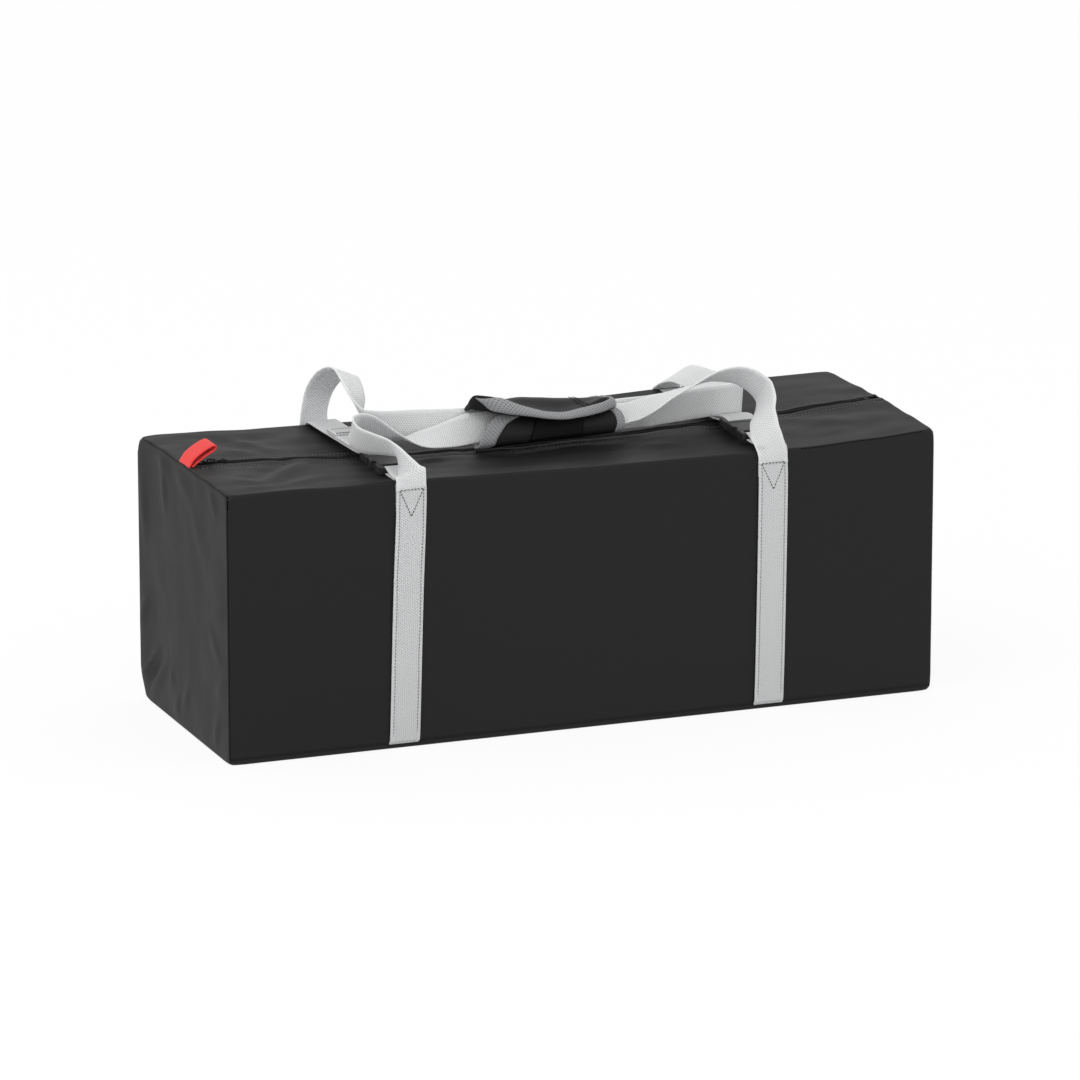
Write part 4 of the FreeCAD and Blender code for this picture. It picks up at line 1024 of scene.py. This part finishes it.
cinch = {
    "leftX": -151.0,
    "rightX": 161.0,
    "thickness": 1.4,
    "hemThickness": 1.2,
    # The long strap bends between these two places, (y, z), when the ladder leaves the socket; nothing in
    # this script uses them.
    "bendFrom": (100, 205),
    "bendTo": (-28, 225),
    "hemRowsY": (37.0, 50.5),
    "hemRowZ": 226.45,
    "hemRowInset": 1.6,
    "hemThread": {"pitch": 2.4, "length": 2.6, "radius": 0.5},
    "back": [(108.6, 194), (108.6, 212), (107.2, 218.4), (102.0, 221.0), (80, 221.3), (40, 222.0), (8, 222.6),
             (-10, 223.0), (-28.2, 224.6), (-40, 224.1), (-44.6, 224.2), (-46.3, 225.7), (-45.4, 227.6),
             (-41, 228.3), (-31.5, 228.6), (-22, 227.2), (-12, 225.2), (8, 224.5), (32, 224.2), (46, 223.9),
             (54.5, 223.8)],
    "hem": [(54.7, 224.2), (55.4, 225.2), (54.2, 226), (46, 225.9), (34.5, 225.6)],
    "front": [(-108.2, 196), (-108.2, 212), (-107.4, 217.6), (-104.5, 220.3), (-98, 220.9), (-88, 220.8),
              (-82, 221.0), (-79.5, 221.8), (-78.9, 223.4), (-79.6, 225.2), (-81.6, 225.9), (-86, 225.5),
              (-92, 223.6), (-98, 222.4), (-103, 221.9)],
}


def flatPath(points, x):
    return [((x, y, z), (1, 0, 0)) for y, z in points]


def makeCinch(side, x):
    long = makeRibbon("cinch_back_" + side + "_web", flatPath(cinch["back"], x), webbing["width"],
                      cinch["thickness"], greyWebbing, None, steps=5)
    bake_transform(long)
    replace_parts(long, "cinch_back_" + side)
    makeRibbon("cinch_hem_" + side, flatPath(cinch["hem"], x), webbing["width"], cinch["hemThickness"],
               greyWebbing, "bag", steps=5)
    half, z = webbing["width"] / 2 - cinch["hemRowInset"], cinch["hemRowZ"]
    rows = [[(x - half, y, z), (x + half, y, z)] for y in cinch["hemRowsY"]]
    makeStitches("cinch_hem_stitches_" + side, rows, "bag", "webbing", darkThread, **cinch["hemThread"])
    short = makeRibbon("cinch_front_" + side + "_web", flatPath(cinch["front"], x), webbing["width"],
                       cinch["thickness"], greyWebbing, "bag", steps=5)
    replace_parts(short, "cinch_front_" + side)


makeCinch("left", cinch["leftX"])
makeCinch("right", cinch["rightX"])
print("cinch straps made")


# Grab tab: red webbing folded into a flat loop and sewn into the end seam

grabTab = {
    "y": 2.0,
    "width": 24.6,
    "thickness": 1.25,
    "loop": [(-303.0, 217), (-302.4, 219.6), (-298, 223.4), (-290.5, 228.8), (-283.5, 232.8),
             (-280.9, 234.6), (-279.9, 236.2), (-280.8, 237.6), (-283.8, 237.2), (-290.8, 233.8),
             (-298, 228.6), (-302.0, 223.4), (-303.0, 220.6), (-303.2, 217)],
}


def makeGrabTab():
    stations = [((x, grabTab["y"], z), (0, 1, 0)) for x, z in grabTab["loop"]]
    tab = makeRibbon("grabTab", stations, grabTab["width"], grabTab["thickness"], redWebbing, "grab_tab",
                     steps=5)
    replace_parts(tab, "grab_tab")


makeGrabTab()
print("grab tab made")


# Zip: tapes and ribbed coils along the sagging top, rows of stitching beside them, slider, puller and stops

zipper = {
    "reach": 290.0,
    "coilPitch": 1.55,
    "coilInner": 0.25,
    "coilWidth": 2.6,
    "coilHeight": 1.9,
    "coilDrop": 0.9,
    "coilDip": {"width": 0.8, "height": 0.55},  # shares of the coil's size between two turns
    "tapeReach": 298.0,
    "tapeY": 6.2,
    "tapeDrop": 1.2,
    "tapeWidth": 11.4,
    "tapeThickness": 0.6,
    "rowReach": 294,
    "rowLift": 0.5,
    "rowThread": {"pitch": 3.1, "length": 2.3, "radius": 0.42},
    "stopX": 291.2,
    "stopWidth": 5.6,
    "stopThickness": 2.6,
    "stopDrop": 0.2,
    "stopSteps": (-1.6, -0.5, 0.5, 1.6),
}
slider = {
    "x": -281.5,
    "size": (9.5, 7.6, 2.2),
    "rise": 0.8,
    "waist": 0.74,
    "bevel": 0.35,
    "crown": [(-3.0, 1.6), (-2.9, 2.6), (-2.0, 3.2), (0, 3.4), (2.0, 3.2), (2.9, 2.6), (3.0, 1.6)],
    "crownWidth": 1.9,
    "crownThickness": 0.9,
}
puller = {
    "length": 13.0,
    "half": 2.6,
    "waist": 0.6,
    "waistRun": 10.0,
    "tipFrom": 12.0,
    "tip": 0.78,
    "rise": 2.3,
    "slope": 0.01,
    "thickness": 0.9,
    "holes": ((0.0, 4.0), (8.0, 11.5)),
    "holeHalf": 1.9,
}


def zipTop(x):
    return lineValue(bag["zipLine"], x)


def makeCoil(name, sign):
    # One side of the coil: a low rounded bar whose height steps at every turn
    bm = bmesh.new()
    turns = int(2 * zipper["reach"] / zipper["coilPitch"])
    rows, ribs = 6, 2 * turns
    bmesh.ops.create_grid(bm, x_segments=rows, y_segments=ribs, size=1.0)
    bm.verts.ensure_lookup_table()
    for rib in range(ribs + 1):
        x = -zipper["reach"] + 2 * zipper["reach"] * rib / ribs
        high = 1.0 if rib % 2 else zipper["coilDip"]["height"]
        wide = 1.0 if rib % 2 else zipper["coilDip"]["width"]
        for row in range(rows + 1):
            turn = pi * row / rows
            y = zipper["coilInner"] + zipper["coilWidth"] * wide * (1 - cos(turn)) / 2
            z = zipTop(x) - zipper["coilDrop"] + zipper["coilHeight"] * high * sin(turn)
            bm.verts[rib * (rows + 1) + row].co = Vector((x, sign * y, z)) * mm
    bmesh.ops.holes_fill(bm, edges=[edge for edge in bm.edges if edge.is_boundary], sides=0)
    bmesh.ops.triangulate(bm, faces=[face for face in bm.faces if len(face.verts) > 4])
    bmesh.ops.recalc_face_normals(bm, faces=bm.faces[:])
    return finishPiece(name, bm, coilNylon, "bag", smooth=False)


def makeZipTape(name, sign):
    reach = zipper["tapeReach"]
    places = [-reach + 2 * reach * count / 34 for count in range(35)]
    stations = [((x, sign * zipper["tapeY"], zipTop(x) - zipper["tapeDrop"]), (0, 1, 0)) for x in places]
    return makeRibbon(name, stations, zipper["tapeWidth"], zipper["tapeThickness"], zipTape, "bag",
                      steps=1)


def makeZip():
    reach = zipper["rowReach"]
    for name, sign in (("front", -1), ("back", 1)):
        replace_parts(makeCoil("zipCoil_" + name, sign), "zipper_coil_" + name)
        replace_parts(makeZipTape("zipTape_" + name, sign), "zipper_tape_" + name)
        row = [topPoint(x, sign * bag["hemRow"], zipper["rowLift"]) for x in range(-reach, reach + 1, 6)]
        makeStitches("zipStitches_" + name, [row], "bag", "bag_cloth", seamThread, **zipper["rowThread"])


def makeSlider():
    # A body that narrows towards one end, and the raised crown that holds the puller
    x0, z0 = slider["x"], zipTop(slider["x"])
    bm = bmesh.new()
    place = Matrix.Translation((x0, 0, z0 + slider["rise"])) @ Matrix.Diagonal((*slider["size"], 1))
    bmesh.ops.create_cube(bm, size=1.0, matrix=place)
    bmesh.ops.subdivide_edges(bm, edges=[edge for edge in bm.edges
                                         if abs(edge.verts[0].co.x - edge.verts[1].co.x) > 1], cuts=3)
    for vert in bm.verts:
        share = 0.5 + (vert.co.x - x0) / 6.0
        vert.co.y *= slider["waist"] + (1 - slider["waist"]) * ease(share)
    bmesh.ops.bevel(bm, geom=bm.edges[:], offset=slider["bevel"], segments=2, affect="EDGES", profile=0.5,
                    material=-1, clamp_overlap=True)
    bmesh.ops.scale(bm, vec=(mm, mm, mm), verts=bm.verts[:])
    body = finishPiece("zipSlider", bm, zipMetal, "zipper_slider", smooth=False)
    stations = [((x0 + x, 0, z0 + z), (0, 1, 0)) for x, z in slider["crown"]]
    makeRibbon("zipSliderCrown", stations, slider["crownWidth"], slider["crownThickness"], zipMetal,
               "zipper_slider", steps=4)
    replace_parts(body, "zipper_slider")


def makePuller():
    # A flat tab with two holes that lies along the zip
    x0, z0 = slider["x"], zipTop(slider["x"])
    bm = bmesh.new()
    bmesh.ops.create_grid(bm, x_segments=11, y_segments=4, size=0.5)
    for vert in bm.verts:
        along = (vert.co.x + 0.5) * puller["length"]
        half = puller["half"] - puller["waist"] * sin(pi * min(1.0, along / puller["waistRun"])) ** 2
        if along > puller["tipFrom"]:
            half *= puller["tip"]
        z = z0 + puller["rise"] + puller["slope"] * along
        vert.co = Vector((x0 + along, vert.co.y * 2 * half, z))
    gone = []
    for face in bm.faces:
        x, y, z = face.calc_center_median()
        if abs(y) < puller["holeHalf"] and any(low < x - x0 < high for low, high in puller["holes"]):
            gone.append(face)
    bmesh.ops.delete(bm, geom=gone, context="FACES")
    bmesh.ops.solidify(bm, geom=bm.faces[:], thickness=puller["thickness"])
    bmesh.ops.recalc_face_normals(bm, faces=bm.faces[:])
    bmesh.ops.scale(bm, vec=(mm, mm, mm), verts=bm.verts[:])
    tab = finishPiece("zipPuller", bm, zipMetal, "zipper_puller", smooth=False)
    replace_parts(tab, "zipper_puller")


def makeStops():
    for name, sign in (("left", -1), ("right", 1)):
        x = sign * zipper["stopX"]
        z = zipTop(x) - zipper["stopDrop"]
        stations = [((x + step, 0, z), (0, 1, 0)) for step in zipper["stopSteps"]]
        stop = makeRibbon("zipStop_" + name, stations, zipper["stopWidth"], zipper["stopThickness"],
                          zipMetal, "bag", steps=2)
        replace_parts(stop, "zipper_stop_" + name)


makeZip()
makeSlider()
makePuller()
makeStops()
print("zip made")


# Handle wrap: a soft sleeve, its bound ends, the flap over it and the hook and loop patches

wrap = {
    "thickness": 1.5,
    "lean": 0.028,
    "puff": 2.4,
    "leftRise": 4.5,
    "backRise": 5.0,
    "crease": 0.7,
    "flapCrease": 0.5,
    "sleeveLeftWidths": (26, 15, 13, 13, 13, 13, 13, 13, 13),
    "sleeveRightWidths": (6.5, 6.5),
    "flapFrontWidths": (17, 13.5, 9, 7.5, 7, 7, 7.5, 8),
    "flapRightWidths": (8, 6),
    "sleeveBindingHalf": 1.4,
    "flapFrontHalf": 1.2,
    "flapRightHalf": 1.7,
    "patchThickness": 0.9,
    "loopPatch": {"u": (0.34, 0.70), "v": (0.06, 0.34), "lift": -1.0},
    "hookPatch": {"u": (0.34, 0.72), "v": (0.62, 0.76), "lift": 1.4},
    "patchBorder": [(0.345, 0.07), (0.695, 0.07), (0.695, 0.33), (0.345, 0.33), (0.345, 0.07)],
    "patchThread": {"pitch": 2.6, "length": 1.9, "radius": 0.3},
    "flapRowsU": (0.755, 0.775),
    "flapThread": {"pitch": 2.6, "length": 2.2, "radius": 0.35},
    "frontBindingFrom": 0.3,
}

# Sleeve section from the front wall's top edge, round underneath, to the back wall's top edge:
# left end x, right end x, y, z
sleeveSection = [(-38, 54, -15.5, 241), (-50.5, 62.5, -21, 235.5), (-58.5, 64.5, -25.5, 227.5),
                 (-61.5, 62.5, -25, 221.3), (-61, 59.5, -15, 217.8), (-57, 58, -4, 216.2),
                 (-54, 56, 4.5, 219), (-54, 55, 7.2, 232), (-54, 54, 6.4, 243)]

# Flap by columns: x, then (y, z) at the back edge, along the ridge over its front, and at the front edge,
# which is turned down
flapColumns = [
    (-65.6, (-2, 246), (-5, 248.6), (-7, 248)),
    (-65, (0, 246.2), (-9, 253.2), (-12, 250)),
    (-63.6, (2, 246.6), (-12, 258.2), (-14, 250.8)),
    (-61, (4, 247.4), (-15.5, 261.4), (-17, 250.8)),
    (-54, (6, 248.4), (-19, 261), (-20.5, 250.3)),
    (-46, (8, 249), (-22, 259.4), (-26.5, 248.3)),
    (-37, (8, 249.6), (-24.5, 256.4), (-29.5, 247)),
    (-27, (8, 250), (-26.5, 251.5), (-31, 245.5)),
    (-16, (8.5, 250.4), (-27.5, 248), (-32, 243.5)),
    (-3, (8.5, 249.2), (-28, 244.6), (-33, 240.8)),
    (12, (8.5, 247.6), (-28, 243.3), (-33, 239.2)),
    (25, (8.5, 246.2), (-28, 245.6), (-32.5, 240)),
    (36, (8, 245.4), (-27, 248.8), (-31.5, 241.4)),
    (46, (7, 244.9), (-25, 252), (-29.5, 242.6)),
    (53, (5, 244.6), (-20, 250.6), (-25, 243)),
    (59, (2, 243.8), (-16, 246.8), (-18, 241.8)),
]

# Places of the flap between those: the share of the way in y and in z, and what is added to each
flapRise = [(0.3, 0.22, 0.0, 1.0), (0.65, 0.62, 0.0, -0.6)]
flapTurn = (0.75, 0.45, -0.5, 0.0)


def along3(values, share):
    # A smooth curve through values, evenly spaced, at a share from 0 to 1
    at = max(0.0, min(0.999999, share)) * (len(values) - 1)
    index = int(at)
    return catmull(values, index, at - index)


def sleevePoint(u, v):
    # u runs from the left end to the right, v along the section. The front wall puffs out in two cushions.
    left, right, y, z = along3([Vector(row) for row in sleeveSection], v)
    x = left + (right - left) * u
    swell = 0.4 * sin(pi * u) + 0.8 * abs(sin(2 * pi * u)) ** 1.3
    puff = wrap["puff"] * swell * sin(pi * min(1.0, v / 0.4)) if v < 0.4 else 0.0
    z += wrap["leftRise"] * ease(1 - u / 0.4) * ease(1 - v / 0.3)
    z += wrap["backRise"] * (1 - ease((u - 0.35) / 0.4)) * ease((v - 0.86) / 0.14)
    crease = wrap["crease"] * noise.noise(Vector((x * 0.05, v * 4.0, 2.0)))
    return Vector((x, y - puff - crease, z + wrap["lean"] * (x + 40)))


def flapBetween(x, start, end, bend):
    shareY, shareZ, addY, addZ = bend
    return Vector((x, start[0] + (end[0] - start[0]) * shareY + addY,
                   start[1] + (end[1] - start[1]) * shareZ + addZ))


def flapPoint(u, v):
    # u runs from the left end to the right. v runs from the back edge, 0, over the ridge, 0.6, to the
    # front edge, 1.
    columns = []
    for x, back, ridge, edge in flapColumns:
        rise = [flapBetween(x, back, ridge, bend) for bend in flapRise]
        column = [Vector((x, *back)), *rise, Vector((x, *ridge)), flapBetween(x, ridge, edge, flapTurn),
                  Vector((x, *edge))]
        columns.append(along3(column, v))
    point = along3(columns, u)
    point.z += wrap["flapCrease"] * noise.noise(Vector((point.x * 0.06, point.y * 0.08, 5.0)))
    return point


def sheetGrid(pointOf, columns, rows, thickness, uRange=(0.0, 1.0), vRange=(0.0, 1.0), lift=0.0):
    # Cloth drawn as a grid on a surface, then given its thickness
    bm = bmesh.new()
    bmesh.ops.create_grid(bm, x_segments=columns, y_segments=rows, size=0.5)
    for vert in bm.verts:
        u = uRange[0] + (uRange[1] - uRange[0]) * (vert.co.x + 0.5)
        v = vRange[0] + (vRange[1] - vRange[0]) * (vert.co.y + 0.5)
        place = pointOf(u, v)
        if lift:
            place += surfaceNormal(pointOf, u, v) * lift
        vert.co = place * mm
    bmesh.ops.solidify(bm, geom=bm.faces[:], thickness=thickness * mm)
    bmesh.ops.recalc_face_normals(bm, faces=bm.faces[:])
    return bm


def surfaceNormal(pointOf, u, v, step=0.01):
    alongU = pointOf(min(1.0, u + step), v) - pointOf(max(0.0, u - step), v)
    alongV = pointOf(u, min(1.0, v + step)) - pointOf(u, max(0.0, v - step))
    return alongU.cross(alongV).normalized()


def outward(pointOf, u, v):
    # The surface normal that points to the front
    normal = surfaceNormal(pointOf, u, v)
    return normal if normal.y < 0 else -normal


def inwardPoint(pointOf, u, v, du, dv, reach, stride=0.015):
    # The place and the normal that lie the given way in from an edge, measured along the cloth
    place = pointOf(u, v)
    gone = 0.0
    for count in range(60):
        ahead = pointOf(u + du * stride, v + dv * stride)
        step = (ahead - place).length
        if gone + step >= reach:
            share = (reach - gone) / step
            return place + (ahead - place) * share, surfaceNormal(pointOf, u, v)
        u, v, place = u + du * stride, v + dv * stride, ahead
        gone += step
    return place, surfaceNormal(pointOf, u, v)


def makeBinding(name, pointOf, route, widths, half, body):
    # Woven tape folded over an edge and laid along the cloth. The route gives (u, v) on the edge and (du, dv)
    # into the cloth, the widths go from the route's start to its end.
    ring = [(1, -0.7), (0.8, -1), (0.6, -1), (0.4, -1), (0.2, -1), (0.03, -1), (-0.7, -0.5), (-0.7, 0.5),
            (0.03, 1), (0.2, 1), (0.4, 1), (0.6, 1), (0.8, 1), (1, 0.7), (1, -0.7)]
    bm = bmesh.new()
    uvLayer = bm.loops.layers.uv.new("webbing")
    columns = len(ring)
    bmesh.ops.create_grid(bm, x_segments=columns - 1, y_segments=len(route) - 1, size=1.0)
    bm.verts.ensure_lookup_table()
    spots = {}
    along = 0.0
    last = None
    for row, ((u, v), (du, dv)) in enumerate(route):
        at = row / (len(route) - 1) * (len(widths) - 1)
        low = min(int(at), len(widths) - 2)
        width = widths[low] + (widths[low + 1] - widths[low]) * (at - low)
        edge, normal = inwardPoint(pointOf, u, v, du, dv, 0.0001)
        into = (inwardPoint(pointOf, u, v, du, dv, 1.0)[0] - edge).normalized()
        along += (edge - last).length if last else 0.0
        last = edge
        run = 0.0
        before = None
        for column, (a, b) in enumerate(ring):
            if a < 0:
                place = edge + into * a + normal * b * half
            else:
                place, lean = inwardPoint(pointOf, u, v, du, dv, a * width)
                place = place + lean * b * half
            run += (place - before).length if before else 0.0
            before = place
            vert = bm.verts[row * columns + column]
            vert.co = place * mm
            spots[vert] = (run * mm, along * mm)
    closeSweep(bm, uvLayer, spots)
    return finishPiece(name, bm, greyBinding, body)


def makePatch(name, pointOf, columns, rows, place, body):
    # A panel of hook or loop tape on the cloth, between two shares each way
    grid = sheetGrid(pointOf, columns, rows, wrap["patchThickness"], place["u"], place["v"], place["lift"])
    return finishPiece(name, grid, hookLoop, body)


def makeWrap():
    sleeve = finishPiece("wrapSleeve", sheetGrid(sleevePoint, 40, 44, wrap["thickness"]), wrapCloth, "handle")
    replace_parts(sleeve, "handle_wrap_base")
    steps = [count / 36 for count in range(37)]
    leftEnd = makeBinding("sleeveBindingLeft", sleevePoint, [((0.0, v), (1, 0)) for v in steps],
                          wrap["sleeveLeftWidths"], wrap["sleeveBindingHalf"], "handle")
    makeBinding("sleeveBindingRight", sleevePoint, [((1.0, v), (-1, 0)) for v in steps],
                wrap["sleeveRightWidths"], wrap["sleeveBindingHalf"], "handle")
    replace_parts(leftEnd, "handle_wrap_binding")
    loop = makePatch("loopPatch", sleevePoint, 24, 10, wrap["loopPatch"], "handle")
    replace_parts(loop, "wrap_loop_patch")
    rows = []
    for (u0, v0), (u1, v1) in zip(wrap["patchBorder"], wrap["patchBorder"][1:]):
        spots = [(u0 + (u1 - u0) * count / 12, v0 + (v1 - v0) * count / 12) for count in range(13)]
        rows.append([sleevePoint(u, v) + outward(sleevePoint, u, v) for u, v in spots])
    makeStitches("patchStitches", rows, "handle", "hook_loop", blackThread, **wrap["patchThread"])


def bendAtRoot(piece):
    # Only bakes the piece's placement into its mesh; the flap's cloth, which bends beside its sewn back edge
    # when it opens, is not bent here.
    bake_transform(piece)


def makeWrapFlap():
    flap = finishPiece("wrapFlap", sheetGrid(flapPoint, 60, 30, wrap["thickness"]), wrapCloth, None)
    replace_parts(flap, "handle_wrap_flap")
    front = []
    first = wrap["frontBindingFrom"]
    for count in range(49):
        u = first + (1 - first) * count / 48
        slant = 0.35 * (1 - ease((u - first) / 0.12))  # the binding starts with a slanted end
        front.append(((u, 1.0), (-slant, -1)))
    right = [((1.0, 1 - count / 20), (-1, 0)) for count in range(1, 21)]
    edge = makeBinding("flapBindingFront", flapPoint, front, wrap["flapFrontWidths"], wrap["flapFrontHalf"],
                       "wrap_flap")
    rightEdge = makeBinding("flapBindingRight", flapPoint, right, wrap["flapRightWidths"],
                            wrap["flapRightHalf"], None)
    hook = makePatch("hookPatch", flapPoint, 30, 6, wrap["hookPatch"], "wrap_flap")
    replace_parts(hook, "wrap_hook_patch")
    onCloth = Vector((0, 0, wrap["thickness"] / 2))
    rows = [[flapPoint(u, 0.02 + 0.7 * count / 16) + onCloth for count in range(17)]
            for u in wrap["flapRowsU"]]
    seamRows = makeStitches("flapStitches", rows, None, "bag_cloth", blackThread, **wrap["flapThread"])
    for piece in (flap, rightEdge, seamRows):
        bendAtRoot(piece)


makeWrap()
makeWrapFlap()
print("handle wrap made")


# Looks of the nodes that keep their CAD shape

plainLooks = {
    "rim_piece": rimPlastic,
    "rim_leg": legPlastic,
    "ball": ballRubber,
    "net_roll": netCord,
    "pump": pumpPlastic,
    "buckle": buckleAcetal,
}


def materialOf(name):
    # The other nodes have a piece of this script in their place.
    for start, material in plainLooks.items():
        if name.startswith(start):
            return material
    return bagCloth


for name, node in nodes.items():
    node.data.materials.clear()
    node.data.materials.append(materialOf(name))
